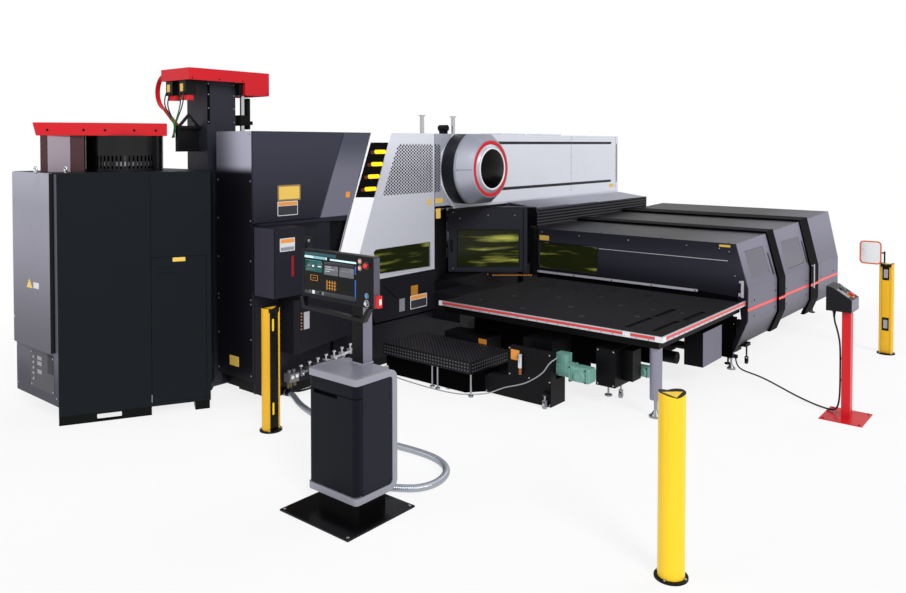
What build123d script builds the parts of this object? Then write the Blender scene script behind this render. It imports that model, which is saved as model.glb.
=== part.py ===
from build123d import *
import math
import os

# Punching and laser cutting machine with its tool magazine, loading table and operator stands.
# All sizes are millimetres. The origin is on the floor, on the middle plane of the C-frame, with
# +X to the right across the frame, +Y to the rear along it and +Z up.

# C-frame and its covers
FRAME_HALF = 300            # half the frame's width over its side covers
FRAME_FRONT = -2633         # front end cover
FRAME_REAR = 4650           # end of the upper arm
FRAME_TOP = 2620
ARM_BOTTOM = 1725           # underside of the upper arm's cover
THROAT_FRONT = -1100        # inner end of the throat
THROAT_LOW = 800
THROAT_HIGH = 1700
COVER = 30                  # thickness of the side covers with their folds
PLINTH = 90
PLATE_IN = 180              # inner face of the frame's side plates
PLATE_OUT = 240

# Drive drum on the right side of the upper arm
DRUM_Y = 596
DRUM_Z = 2190
DRUM_R = 480
DRUM_TOP = 2618             # the drum is cut flat above and below
DRUM_BOTTOM = 1757
DRUM_SHELL_END = 495
DRUM_FACE = 702
RING_R = 345

# Tool magazine cabinet: a block with its front right corner cut off by the main face
MAG_LEFT = -1428
MAG_FRONT = -4083
MAG_BACK = -2700
MAG_TOP = 2240
MAG_LOW = 80
MAG_WALL = 30
MAG_FLOOR = 170
ELECTRIC_BAY = (-1350, -640, 700, 2190)
MAG_A = (-558.0, -4083.0)   # front end of the main face
MAG_B = (57.0, -2941.0)     # rear end of the main face
HOOD_C = (-786.0, -3325.0)  # axis of the tool drum and of the round hood
HOOD_R = 345
HOOD_TOP = 2574
RIM_TOP = 2692

# Tool lift column
COL_X0, COL_X1 = -870, -506
COL_Y0, COL_Y1 = -2600, -2262
COL_TOP = 3241
ROD_R = 25

# Laser enclosure on the right: its front face, its end and the places of its two ribs
ENC_LEFT = 800
ENC_FRONT = 1500
ENC_REAR = 5300
ENC_TOP_X = 3397            # outer end of the roof
ENC_SIDE_X = 3538           # outer end of the upright side
SKIRT_LEAN = 0.401          # how far the skirt runs inwards for each mm down
RIB_1 = (2500, 2742)
RIB_2 = (3830, 4178)
SHEET = 20                  # wall of the enclosure
RIB_PROUD = 26
BELLOWS_TOP = 1657
BELLOWS_LOW = 1392
BELLOWS_INNER = 1706         # its top edge beside the upper arm

# Loading table in the inner corner
TABLE_X0, TABLE_X1 = 880, 3500
TABLE_Y0, TABLE_Y1 = -600, 1472
TABLE_TOP = 755

# Operator console
CON_X0, CON_X1 = 2288, 2776
CON_Y0, CON_Y1 = -3652, -3262
CON_TOP = 950
CON_LOW = 112
BAND = 46
HEAD_X0, HEAD_X1 = 2180, 2890
HEAD_Y0, HEAD_Y1 = -3600, -3545
HEAD_Z0, HEAD_Z1 = 1425, 1762

# Light-curtain posts and red push-button stand
POSTS = {"left": (950, -2940, 0), "corner": (4635, -2932, 135), "rear": (4556, 3294, -90)}
POST_R = 78
POST_H = 1080
STAND_X0, STAND_X1 = 4710, 4785
STAND_Y0, STAND_Y1 = 560, 650

NODES = {}


def block(x0, x1, y0, y1, z0, z1):
    """Box between two corners."""
    place = Pos((x0 + x1) / 2, (y0 + y1) / 2, (z0 + z1) / 2)
    return place * Box(x1 - x0, y1 - y0, z1 - z0)


def rod(start, end, radius):
    """Round bar from one point to another."""
    a, b = Vector(*start), Vector(*end)
    plane = Plane(origin=a, z_dir=b - a)
    return extrude(plane * Circle(radius), (b - a).length)


def prism(points, way):
    """Flat outline of three-dimensional points, drawn out along a vector."""
    face = make_face(Polyline(*points, close=True))
    direction = Vector(*way)
    return extrude(face, direction.length, dir=direction.normalized())


def along_x(outline, x0, x1):
    """Outline of (y, z) points drawn out from x0 to x1."""
    return prism([(x0, y, z) for y, z in outline], (x1 - x0, 0, 0))


def along_y(outline, y0, y1):
    """Outline of (x, z) points drawn out from y0 to y1."""
    return prism([(x, y0, z) for x, z in outline], (0, y1 - y0, 0))


def upright(outline, z0, z1):
    """Outline of (x, y) points drawn up from z0 to z1."""
    return prism([(x, y, z0) for x, y in outline], (0, 0, z1 - z0))


def upright_edges(shape):
    """Edges that run along Z."""
    return shape.edges().filter_by(Axis.Z)


def keep(name, *shapes):
    """Gather a node's solids under its name."""
    solids = []
    for shape in shapes:
        solids += shape.solids()
    NODES[name] = solids[0] if len(solids) == 1 else Compound(children=solids)


def level_foot(x, y, top, stud=10, pad=38):
    """Levelling foot: a round pad with a stud up to the given height."""
    return rod((x, y, 0), (x, y, 14), pad) + rod((x, y, 10), (x, y, top), stud)


def caster(x, y, top, wheel=32):
    """Fixed caster: a wheel between two cheeks under a stem."""
    tread = rod((x - 12, y, wheel), (x + 12, y, wheel), wheel)
    cheeks = block(x - 18, x - 12, y - 14, y + 14, wheel - 8, 2 * wheel + 20)
    cheeks += block(x + 12, x + 18, y - 14, y + 14, wheel - 8, 2 * wheel + 20)
    crown = block(x - 18, x + 18, y - 14, y + 14, 2 * wheel + 12, 2 * wheel + 20)
    stem = rod((x, y, 2 * wheel + 16), (x, y, top), 9)
    return tread + cheeks + crown + stem


def machine_frame():
    """Welded C-frame: two side plates joined by webs, open at the throat, on a plinth."""
    front, rear = FRAME_FRONT + 73, FRAME_REAR - 90
    low, high = PLINTH, FRAME_TOP - 60
    cee = [(front, low), (rear, low), (rear, THROAT_LOW), (THROAT_FRONT, THROAT_LOW),
           (THROAT_FRONT, THROAT_HIGH), (rear, THROAT_HIGH), (rear, high), (front, high)]
    body = along_x(cee, -PLATE_OUT, -PLATE_IN) + along_x(cee, PLATE_IN, PLATE_OUT)
    web = 60
    body += block(-PLATE_IN, PLATE_IN, front, front + web, low, high)
    body += block(-PLATE_IN, PLATE_IN, front, rear, low, low + web)
    body += block(-PLATE_IN, PLATE_IN, front, rear, high - web, high)
    body += block(-PLATE_IN, PLATE_IN, THROAT_FRONT, rear, THROAT_LOW - web, THROAT_LOW)
    body += block(-PLATE_IN, PLATE_IN, THROAT_FRONT, rear, THROAT_HIGH, THROAT_HIGH + web)
    body += block(-PLATE_IN, PLATE_IN, THROAT_FRONT - web, THROAT_FRONT, THROAT_LOW - web, THROAT_HIGH + web)
    body += block(-PLATE_IN, PLATE_IN, rear - web, rear, low, THROAT_LOW)
    body += block(-PLATE_IN, PLATE_IN, rear - web, rear, THROAT_HIGH, high)
    plinth = block(-250, 262, -2420, FRAME_REAR - 90, 0, PLINTH)
    turret_seat = block(-900, -PLATE_OUT, 760, 1440, 0, 940)
    gland = rod((260, -2268, 40), (332, -2268, 40), 36)
    cable_gland = rod((260, -1050, 16), (328, -1050, 16), 14)
    return body + plinth + turret_seat + gland + cable_gland


def top_posts():
    """Two chrome posts and a small motor on top of the upper arm."""
    posts = []
    for y in (-146, 437):
        posts.append(rod((225, y, FRAME_TOP), (225, y, 2840), 26) + rod((225, y, 2826), (225, y, 2842), 40))
    motor = rod((165, 250, 2690), (285, 250, 2690), 40) + block(190, 262, 210, 290, FRAME_TOP, 2660)
    return posts + [motor]


SLANT = 0.382               # how far the slanted seams lean, in y for each mm of height


def seam_y(y_top, z):
    """Place of a slanted seam at a height, from its place at the top."""
    return y_top - (FRAME_TOP - z) * SLANT


def frame_panels():
    """Dark sheet covers of the frame with the access box on the front right corner."""
    x0, x1 = FRAME_HALF - COVER, FRAME_HALF
    ledge = 1735
    dark = along_x([(FRAME_FRONT, FRAME_TOP), (-1476, FRAME_TOP),
                    (seam_y(-1476, ledge), ledge), (FRAME_FRONT, ledge)], x0, x1)
    grey = along_x([(-1464, FRAME_TOP), (-1078, FRAME_TOP), (seam_y(-1078, 1680), 1680),
                    (seam_y(-1464, 1700), 1700)], x0, x1)
    lower = block(x0 - 20, x0, FRAME_FRONT + 30, -1650, PLINTH, ledge - 30)
    end = block(-FRAME_HALF, FRAME_HALF - COVER, FRAME_FRONT, FRAME_FRONT + 24, 215, FRAME_TOP)
    lid = block(-FRAME_HALF, x0, FRAME_FRONT + 24, -2, FRAME_TOP - 30, FRAME_TOP)
    left = block(-FRAME_HALF, -FRAME_HALF + COVER, FRAME_FRONT + 24, -2, PLINTH, FRAME_TOP - 30)
    wall = 16
    box = block(x1, 600, -2630, -2270, 1055, 1705)
    box -= block(x1 + wall, 600, -2630 + wall, -2270 - wall, 1055 + wall, 1705 - wall)
    ledge_plate = block(x0 - 20, x1 + 60, -2600, -1840, ledge - 26, ledge - 2)
    lever_case = block(x0, 480, -2240, -2060, 1340, 1600)
    lever = rod((470, -2150, 1500), (505, -2150, 1500), 26) + block(498, 512, -2162, -2138, 1430, 1510)
    return [dark, grey, lower, end, lid, left, box, ledge_plate, lever_case + lever]


def access_door():
    """Overlay door of the access box with a slot grip."""
    door = block(600.5, 616, -2628, -2272, 1057, 1703)
    slot = block(608, 616, -2437, -2396, 1240, 1440)
    return door - slot


def silver_cover():
    """Slanted light cover with the sunk lamp place, the perforated field and the throat window."""
    x0, x1 = FRAME_HALF - COVER, FRAME_HALF
    low, top_y = 985, -1066
    sheet = along_x([(top_y, FRAME_TOP), (-2, FRAME_TOP), (-2, low), (-1650, low),
                     (seam_y(top_y, 1500) + 20, 1500)], x0, x1)
    window = along_x([(-1040, 1290), (-1008, 1322), (-84, 1322), (-84, 1024), (-935, 1042)], x0, x1)
    lamps = along_x([(-1076, 2512), (-791, 2512), (-1018, 1903), (-1310, 1918)], x1 - 12, x1)
    field = along_x([(-640, 2500), (-30, 2500), (-30, 1915), (-890, 1915)], x1 - 3, x1)
    rear = along_x([(4, 2620), (340, 2620), (110, 2380), (110, 2000), (300, 1740), (4, 1740)], x0, x1)
    return [sheet - window - lamps - field, rear]


def status_lamps():
    """Black insert of the lamp place with its four amber lamp bars."""
    x1 = FRAME_HALF
    insert = along_x([(-1073, 2507), (-798, 2507), (-1024, 1910), (-1303, 1923)], x1 - 12, x1 - 6)
    parts = [insert]
    for row in range(4):
        z = 2400 - row * 128
        y = -1000 - (2400 - z) * SLANT
        bar = along_x([(y - 60, z + 26), (y + 110, z + 26), (y + 95, z - 22), (y - 75, z - 22)],
                      x1 - 6, x1 + 4)
        parts.append(bar)
    return parts


def tinted_windows():
    """Fixed filter-glass panes: the throat, the enclosure's front and its two end windows."""
    throat = along_x([(-1030, 1288), (-1004, 1314), (-92, 1314), (-92, 1032), (-930, 1050)],
                     FRAME_HALF - 20, FRAME_HALF - 14)
    front = block(828, 1668, ENC_FRONT + 6, ENC_FRONT + 12, 880, 1202)
    panes = [throat, front]
    for y0, y1, z0, z1 in END_WINDOWS:
        panes.append(end_pane(y0 + 3, y1 - 3, z0 + 4, z1 - 4, -12, -6))
    return panes


END_WINDOWS = [(1700, 2300, 985, 1290), (2955, 3665, 940, 1280)]


def end_point(y, z, out=0.0):
    """X of the leaning end wall at a place along it and a height, moved out by a distance."""
    pts = profile(y)
    lean = (pts[2][0] - pts[1][0]) / (pts[1][1] - pts[2][1])
    return pts[1][0] + (pts[1][1] - z) * lean + out


def end_pane(y0, y1, low, high, inner, outer):
    """Slab that lies in the leaning end wall, between two depths from its outer face."""
    ends = []
    for y in (y0, y1):
        points = [(end_point(y, high, inner), high), (end_point(y, high, outer), high),
                  (end_point(y, low, outer), low), (end_point(y, low, inner), low)]
        ends.append(make_face(Polyline(*[(x, y, z) for x, z in points], close=True)))
    return loft(ends, ruled=True)


def profile(y, out=0.0, foot=250):
    """Cross-section of the enclosure at y: its roof rises and its side grows towards the rear."""
    t = (y - ENC_FRONT) / 1000
    roof = 1386 + 30 * t + out
    fold = 905 - 19 * t
    low = 545 - 48 * t
    side = ENC_SIDE_X + out
    return [(ENC_LEFT, roof), (ENC_TOP_X + 0.4 * out, roof), (side, fold), (side, low),
            (side - SKIRT_LEAN * (low - foot), foot)]


def hoop(y0, y1, out, wall, foot):
    """Bent sheet over the enclosure from y0 to y1: the outer skin less the inner one."""
    skins = []
    for shift in (out, out - wall):
        ends = []
        for y in (y0, y1):
            pts = profile(y, shift, foot if shift == out else foot - 40)
            left = ENC_LEFT if shift == out else ENC_LEFT - 1
            ring = [(left, pts[0][1])] + pts[1:] + [(left, pts[-1][1])]
            ends.append(make_face(Polyline(*[(x, y, z) for x, z in ring], close=True)))
        skins.append(loft(ends, ruled=True))
    return skins[0] - skins[1]


def enclosure_sections():
    """Three grey sections of the enclosure, the last one with its rear wall."""
    spans = [(ENC_FRONT + 22, RIB_1[0], 255), (RIB_1[1], RIB_2[0], 330), (RIB_2[1], ENC_REAR, 330)]
    parts = []
    for index, (y0, y1, foot) in enumerate(spans):
        shell = hoop(y0 + 1, y1 - 1, 0, SHEET, foot)
        if index < 2:
            shell -= end_pane(*END_WINDOWS[index], -80, 40)
        parts.append(shell)
    inner = profile(ENC_REAR, -SHEET - 0.5, 332)
    ring = inner + [(ENC_LEFT, 332)]
    parts.append(along_y(ring, ENC_REAR - 21, ENC_REAR - 1))
    return parts


def enclosure_ribs():
    """Two black ribs that stand proud of the sections."""
    return [hoop(RIB_1[0], RIB_1[1], RIB_PROUD, RIB_PROUD + SHEET, 240),
            hoop(RIB_2[0], RIB_2[1], RIB_PROUD, RIB_PROUD + SHEET, 225)]


def enclosure_front():
    """Dark front wall with its window opening, over the slot where the sheet goes in."""
    outline = [(781, 822), (781, 1388), (ENC_TOP_X, 1388), (ENC_SIDE_X, 905), (ENC_SIDE_X, 545),
               (3361, 104), (3318, 104), (3470, 540), (3444, 745), (3420, 800), (2990, 822)]
    wall = along_y(outline, ENC_FRONT, ENC_FRONT + 20)
    return wall - block(821, 1675, ENC_FRONT - 1, ENC_FRONT + 21, 872, 1210)


def enclosure_rail():
    """Silver sill, light strip, corner latch and bare plate on the front wall, with the rear grip."""
    face = ENC_FRONT - 0.5
    sill = block(809, 2972, ENC_FRONT - 26, face, 812, 836)
    strip = block(1700, 3312, ENC_FRONT - 4, face, 1190, 1198)
    plate = block(3216, 3340, ENC_FRONT - 3, face, 1346, 1371)
    latch = block(3470, 3494, ENC_FRONT - 22, face, 806, 990)
    latch += block(3440, 3470, ENC_FRONT - 14, face, 815, 850)
    latch += block(3446, 3470, ENC_FRONT - 14, face, 960, 985)
    grip_x = ENC_SIDE_X + RIB_PROUD
    grip = rod((grip_x + 30, 3862, 590), (grip_x + 30, 3862, 905), 9)
    for z in (612, 884):
        grip += rod((grip_x, 3862, z), (grip_x + 32, 3862, z), 8)
    return [sill, strip, plate, latch, grip]


def enclosure_frame():
    """Black supports: inner rail, corner post, hazard plate, throat side panel, legs and casters."""
    parts = []
    rail = block(430, 520, 1560, 4560, 1290, 1380)
    for y in (1560, 4480):
        rail += block(430, 520, y, y + 80, 120, 1380) + level_foot(475, y + 40, 130)
    parts.append(rail)
    parts.append(block(735, 800, 1400, 1498, 772, 1400))
    parts.append(upright([(372, 1046), (800, 1399), (722, 1399), (310, 1060)], 772, 790))
    side = upright([(297, 3), (-100, 696), (-122, 684), (272, 3)], 822, 1655)
    parts.append(side)
    front = block(900, 3300, 1600, 1700, 480, 560)
    for x in (1000, 2200, 3240):
        front += block(x, x + 60, 1620, 1680, 120, 500) + level_foot(x + 30, 1650, 130)
    front += block(3290, 3360, 1620, 1680, 500, 545)
    parts.append(front)
    tail = block(900, 3300, 5100, 5200, 520, 600)
    for x in (1000, 2200, 3200):
        tail += block(x, x + 60, 5120, 5180, 120, 540) + level_foot(x + 30, 5150, 130)
    for x in (1000, 3200):
        tail += block(x, x + 60, 4900, 5160, 560, 600) + block(x, x + 60, 4900, 4980, 560, 1050)
    tail += block(900, 3300, 4900, 5000, 1040, 1120)
    parts.append(tail)
    corner_foot = rod((3372, 1470, 60), (3372, 1470, 140), 12) + block(3352, 3398, 1440, 1498, 130, 190)
    corner_foot += rod((3372, 1470, 0), (3372, 1470, 16), 46) + block(3390, 3440, 1455, 1489, 132, 168)
    corner_foot += Pos(3372, 1470, 38) * Cone(40, 14, 46)
    parts.append(corner_foot)
    roller = caster(3430, 1790, 250)
    roller += block(3340, 3450, 1720, 1860, 205, 240) + block(3300, 3345, 1690, 1870, 140, 480)
    parts.append(roller)
    return parts


def bellows_cover():
    """Long stepped cover over the laser head's travel, its corner plate and the strip under the arm."""
    parts = []
    steps = 4
    start, end = 1502, 4720
    length = (end - start) / steps
    inner, outer, wall = 302, 780, 12
    for index in range(steps):
        y0 = start + index * length
        y1 = y0 + length - 2
        near = BELLOWS_INNER - 4 * index
        far = BELLOWS_TOP - 8 * index
        shell = along_y([(inner, BELLOWS_LOW), (inner, near), (outer, far), (outer, BELLOWS_LOW)], y0, y1)
        shell -= along_y([(inner + wall, BELLOWS_LOW - 1), (inner + wall, near - wall - 2),
                          (outer - wall, far - wall - 1), (outer - wall, BELLOWS_LOW - 1)], y0 - 1, y1 + 1)
        parts.append(shell)
    parts.append(upright([(inner, 1060), (704, 1391), (775, 1501), (inner, 1501)], 1656, 1666))
    parts.append(block(FRAME_HALF - 11, FRAME_HALF, 346, 1500, 1656, ARM_BOTTOM))
    return parts


def beam_cover():
    """Light cover of the upper arm behind the drum, with two long grooves and an end slot."""
    y0, x1 = 2, FRAME_HALF
    shell = block(-x1, x1, y0, FRAME_REAR, ARM_BOTTOM, FRAME_TOP)
    shell -= block(-x1 + COVER, x1 - COVER, y0 - 1, FRAME_REAR - COVER, ARM_BOTTOM - 1, FRAME_TOP - 30)
    shell -= along_x([(y0 - 1, FRAME_TOP + 1), (345, FRAME_TOP + 1), (112, 2382), (112, 1998),
                      (320, ARM_BOTTOM - 1), (y0 - 1, ARM_BOTTOM - 1)], x1 - COVER - 1, x1 + 1)
    for z0, z1 in GROOVES:
        shell -= block(x1 - 8, x1 + 1, 1090, 4420, z0, z1)
    shell -= block(x1 - 60, x1 - 36, FRAME_REAR - 8, FRAME_REAR + 1, 1880, 2480)
    plates = block(-60, 120, 700, 1150, FRAME_TOP, FRAME_TOP + 12)
    plates += block(-60, 120, 1650, 2250, FRAME_TOP, FRAME_TOP + 14)
    return shell + plates


GROOVES = [(2490, 2528), (1872, 1912)]


def flat_disc(x0, x1, radius):
    """Drum slice along X, cut flat above and below."""
    disc = rod((x0, DRUM_Y, DRUM_Z), (x1, DRUM_Y, DRUM_Z), radius)
    return disc & block(x0, x1, DRUM_Y - 600, DRUM_Y + 600, DRUM_BOTTOM, DRUM_TOP)


def drum_shell():
    """Dark round band between the upper arm and the silver cap."""
    band = flat_disc(FRAME_HALF + 0.5, DRUM_SHELL_END, DRUM_R)
    return band - rod((FRAME_HALF, DRUM_Y, DRUM_Z), (DRUM_SHELL_END - 20, DRUM_Y, DRUM_Z), 400)


def drum_cap():
    """Silver bevelled cap with the red ring, the light ring and the dark centre disc."""
    rim_end = DRUM_SHELL_END + 45
    middle = Plane(origin=(rim_end, DRUM_Y, DRUM_Z), z_dir=(1, 0, 0))
    bevel = loft([middle * Circle(DRUM_R + 4), middle.offset(DRUM_FACE - rim_end) * Circle(RING_R + 10)])
    bevel &= block(rim_end, DRUM_FACE, DRUM_Y - 600, DRUM_Y + 600, DRUM_BOTTOM, DRUM_TOP)
    cap = flat_disc(DRUM_SHELL_END + 0.5, rim_end, DRUM_R + 4) + bevel
    face = DRUM_FACE

    def tube(x0, x1, outer, inner):
        ring = rod((x0, DRUM_Y, DRUM_Z), (x1, DRUM_Y, DRUM_Z), outer)
        return ring - rod((x0 - 1, DRUM_Y, DRUM_Z), (x1 + 1, DRUM_Y, DRUM_Z), inner)

    cap -= tube(face - 10, face + 1, RING_R, RING_R - 42)
    cap -= rod((face - 34, DRUM_Y, DRUM_Z), (face + 1, DRUM_Y, DRUM_Z), 272)
    red = tube(face - 10, face + 3, RING_R - 0.5, RING_R - 41.5)
    light = tube(face - 34, face - 8, 268, 250)
    disc = rod((face - 34, DRUM_Y, DRUM_Z), (face - 14, DRUM_Y, DRUM_Z), 246)
    return [cap, red, light, disc]


def corner_door():
    """Swinging door across the inner corner: frame with its filter glass."""
    return [to_door(door_leaf()), to_door(door_glass())]


DOOR_L = (-86.0, 719.0)     # free end of the corner door
DOOR_R = (712.0, 1377.0)    # hinged end
DOOR_Z0, DOOR_Z1 = 820, 1652


def to_door(shape):
    """Place a shape drawn with +X along the door, from its free end to its hinge."""
    angle = math.degrees(math.atan2(DOOR_R[1] - DOOR_L[1], DOOR_R[0] - DOOR_L[0]))
    return Pos(DOOR_L[0], DOOR_L[1], 0) * Rot(0, 0, angle) * shape


def door_width():
    """Length of the corner door."""
    return math.hypot(DOOR_R[0] - DOOR_L[0], DOOR_R[1] - DOOR_L[1])


def door_leaf():
    """Leaf of the corner door with its window opening, outer face at y = 0."""
    leaf = block(0, door_width(), 0, 36, DOOR_Z0, DOOR_Z1)
    return leaf - block(118, door_width() - 108, -1, 37, 884, 1369)


def door_glass():
    """Pane in the corner door's opening."""
    return block(122, door_width() - 112, 12, 18, 888, 1365)


def lower_covers():
    """Dark covers low on the right side: under the window, and the control case by the access box."""
    x1 = FRAME_HALF
    under = along_x([(-1640, 975), (-2, 975), (-2, 500), (-1010, 500), (-1060, 600), (-1640, 640)],
                    x1 - COVER, x1)
    chute = block(x1 - 60, 690, 2, 640, 380, 700)
    case = along_x([(-2325, 985), (-1540, 985), (-1540, 540), (-2325, 456)], x1 + 2, 540)
    case = fillet(upright_edges(case).group_by(Axis.X)[-1].group_by(Axis.Y)[0], 40)
    case -= along_x([(-2300, 950), (-1570, 950), (-1570, 500), (-2300, 420)], x1 + 30, 510)
    case += block(x1 - COVER, x1 + 40, -2280, -2220, 700, 900)
    case += block(x1 - COVER, x1 + 40, -1640, -1580, 700, 900)
    name_plate = block(540.5, 544, -2229, -2160, 690, 858)
    knobs = []
    for row in range(6):
        z = 698 + 31 * row
        knobs.append(rod((540.5, -2262, z), (548, -2262, z), 9))
    plates = [block(x1 + 0.5, x1 + 3, -428, -308, 715, 835), block(x1 + 0.5, x1 + 3, -445, -160, 583, 700),
              block(x1 + 0.5, x1 + 8, -628, -540, 565, 712)]
    kick = block(x1 - 58, x1 - 38, -1600, 700, PLINTH, 470)
    return [under, chute, case, name_plate, kick] + knobs + plates


def air_unit():
    """Air service unit low on the front right side: filters, rising valve row and pipes."""
    x = 362
    body = block(316, 408, -2296, -2180, 150, 236)
    for index, y in enumerate((-2266, -2212)):
        body += rod((x, y, 92 + 14 * index), (x, y, 152), 25)
        body += rod((x, y, 234), (x, y, 268), 18)
    body += rod((x, -2190, 196), (x, -1400, 296), 15)
    for y in (-2120, -2010, -1900, -1790, -1680, -1570, -1450):
        z = 196 + (y + 2190) * 100 / 790
        body += block(x - 28, x + 28, y - 24, y + 24, z - 24, z + 30)
        body += rod((x, y, z + 24), (x, y, z + 66), 9)
    body += block(297, x, -1560, -1530, 262, 290) + block(297, 330, -2260, -2220, 186, 214)
    return body


def left_cover():
    """Plain closed cover over the turret side, left of the frame."""
    x0, x1 = -1300, -FRAME_HALF - 2
    outline = [(x0 + 120, 1600), (x1, 1600), (x1, 250), (x0, 250), (x0, 1150)]
    shell = along_y(outline, 300, 4600)
    inner = [(x0 + 134, 1584), (x1 + 1, 1584), (x1 + 1, 249), (x0 + 16, 249), (x0 + 16, 1146)]
    shell -= along_y(inner, 316, 4584)
    for y in (420, 2300, 4420):
        shell += block(x0 + 8, x0 + 77, y, y + 60, 110, 600) + level_foot(x0 + 47, y + 30, 120)
    return [shell]


def unit(vector):
    """Vector of length one in the plane."""
    size = math.hypot(*vector)
    return (vector[0] / size, vector[1] / size)


FACE_WAY = unit((MAG_B[0] - MAG_A[0], MAG_B[1] - MAG_A[1]))
FACE_OUT = (FACE_WAY[1], -FACE_WAY[0])


def on_face(along, out):
    """Plan point on the magazine's main face."""
    return (MAG_A[0] + FACE_WAY[0] * along + FACE_OUT[0] * out,
            MAG_A[1] + FACE_WAY[1] * along + FACE_OUT[1] * out)


def face_slab(a0, a1, out0, out1, z0, z1):
    """Slab that lies parallel to the magazine's main face."""
    corners = [on_face(a0, out0), on_face(a1, out0), on_face(a1, out1), on_face(a0, out1)]
    return upright(corners, z0, z1)


FACE_LONG = 1297
DOOR_FROM, DOOR_TO = 772, 1252
MAG_DOOR_Z = (112, 1452)


def magazine_plan(inset=0.0):
    """Plan of the magazine cabinet, moved inwards by a distance."""
    cut = 0.62 * inset
    return [(MAG_LEFT + inset, MAG_FRONT + inset), (MAG_A[0] - cut, MAG_FRONT + inset),
            (MAG_B[0] - inset * 1.35, MAG_B[1] - 0.1 * inset), (-50 - inset, -2840 - 0.6 * inset),
            (-320, MAG_BACK - inset), (MAG_LEFT + inset, MAG_BACK - inset)]


def magazine_walls():
    """Upright walls of the magazine, one solid for each flat stretch, with both door openings left free."""
    low, high = MAG_FLOOR + MAG_WALL, MAG_TOP - MAG_WALL
    outer, inner = magazine_plan(), magazine_plan(MAG_WALL)
    count = len(outer)
    walls = []
    for index in range(count):
        after = (index + 1) % count
        walls.append(upright([outer[index], outer[after], inner[after], inner[index]], low, high))
    front, face, rest = walls[0], walls[1], walls[2:]
    y0, y1 = MAG_FRONT - 1, MAG_FRONT + MAG_WALL + 1
    x0, x1, z0, z1 = ELECTRIC_BAY
    fronts = [front & block(MAG_LEFT - 1, x0, y0, y1, low, high), front & block(x1, MAG_A[0] + 1, y0, y1, low, high),
              front & block(x0, x1, y0, y1, z1, high)]
    below = front & block(x0, x1, y0, y1, low, z0)
    fronts.append(below + block(-760, -660, MAG_FRONT - 5, MAG_FRONT + 1, 440, 600))
    from_door, to_door, sill = DOOR_FROM - 3, DOOR_TO + 3, MAG_DOOR_Z[1] + 3
    faces = [face & face_slab(-90, from_door, -60, 40, low, high),
             face & face_slab(to_door, FACE_LONG + 60, -60, 40, low, high),
             face & face_slab(from_door, to_door, -60, 40, sill, high)]
    y2, y3 = MAG_FRONT + MAG_WALL, MAG_FRONT + 200
    tray = [block(x0 - 20, x0, y2, y3, z0 - 20, high), block(x1, x1 + 20, y2, y3, z0 - 20, high),
            block(x0, x1, y2, y3, z0 - 20, z0), block(x0, x1, y2, y3, z1, high),
            block(x0, x1, y3 - 20, y3, z0, z1)]
    return fronts + faces + rest + tray


def magazine_cabinet():
    """Cabinet: its base with the feet, its walls, and the roof with the hood's opening and the eyes."""
    floor = MAG_FLOOR
    base = upright(magazine_plan(), floor, floor + MAG_WALL)
    base += face_slab(0, FACE_LONG - 8, -MAG_WALL, 0, MAG_LOW, floor + 1)
    base += face_slab(FACE_LONG - 38, FACE_LONG - 8, -90, 0, MAG_LOW, floor + 1)
    base += face_slab(0, 30, -110, 0, MAG_LOW, floor + 1)
    base -= face_slab(DOOR_FROM - 3, DOOR_TO + 3, -60, 40, MAG_DOOR_Z[0] - 2, MAG_DOOR_Z[1] + 3)
    bar = face_slab(0, 768, -60, -8, 0, MAG_LOW + 1)
    middle = on_face(410, -100)
    way = Vector(FACE_OUT[0], FACE_OUT[1], 0)
    moon = extrude(Plane(origin=(*middle, 40), z_dir=way) * Circle(104), 120)
    moon &= upright([on_face(-200, -150), on_face(900, -150), on_face(900, 30), on_face(-200, 30)], 12, 68)
    base += bar - moon
    base += face_slab(1150, 1280, -180, -8, 0, MAG_LOW + 1)
    base += face_slab(0, 120, -300, -60, 0, floor + 1)
    base += block(MAG_LEFT + 200, MAG_LEFT + 320, -3700, MAG_BACK - 40, 0, floor + 1)
    base += block(-480, -340, MAG_BACK - 180, MAG_BACK - 40, 0, floor + 1)
    roof = upright(magazine_plan(), MAG_TOP - MAG_WALL, MAG_TOP)
    roof -= rod((*HOOD_C, MAG_TOP - 60), (*HOOD_C, MAG_TOP + 10), 336)
    for along, out in ((72, -60), (-166, -60)):
        x, y = on_face(along, out)
        ring = Pos(x, y, MAG_TOP + 34) * Rot(90, 0, 62) * Torus(22, 8)
        roof += ring + rod((x, y, MAG_TOP - 2), (x, y, MAG_TOP + 16), 14)
    return [base, roof] + magazine_walls()


def magazine_door():
    """Service door in the lower right of the magazine's main face."""
    door = face_slab(DOOR_FROM, DOOR_TO, -26, 0, *MAG_DOOR_Z)
    return door - face_slab(DOOR_FROM + 60, DOOR_FROM + 190, -6, 1, 1300, 1360)


def electric_door():
    """Door of the electric compartment on the cabinet's front."""
    door = block(-1378, -606, MAG_FRONT - 42, MAG_FRONT - 1, 644, 2238)
    return door - block(-1362, -622, MAG_FRONT - 30, MAG_FRONT, 660, 2222)


def from_face(shape):
    """Place a shape drawn with +X along the magazine's main face and +Y into the cabinet."""
    angle = math.degrees(math.atan2(FACE_WAY[1], FACE_WAY[0]))
    return Pos(*MAG_A) * Rot(0, 0, angle) * shape


def rim_plan(grow):
    """Plan of the red rim over the face: its front swells a little in the middle."""
    left, right, front, back = RIM_SIDES
    left, right, front, back = left - grow, right + grow, front - grow, back + grow
    swell = ThreePointArc((left, front), ((left + right) / 2, front - 55), (right, front))
    rest = Polyline((right, front), (right, back), (left, back), (left, front))
    return make_face([swell, rest])


RIM_SIDES = (-186, 932, 310, 905)


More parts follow.
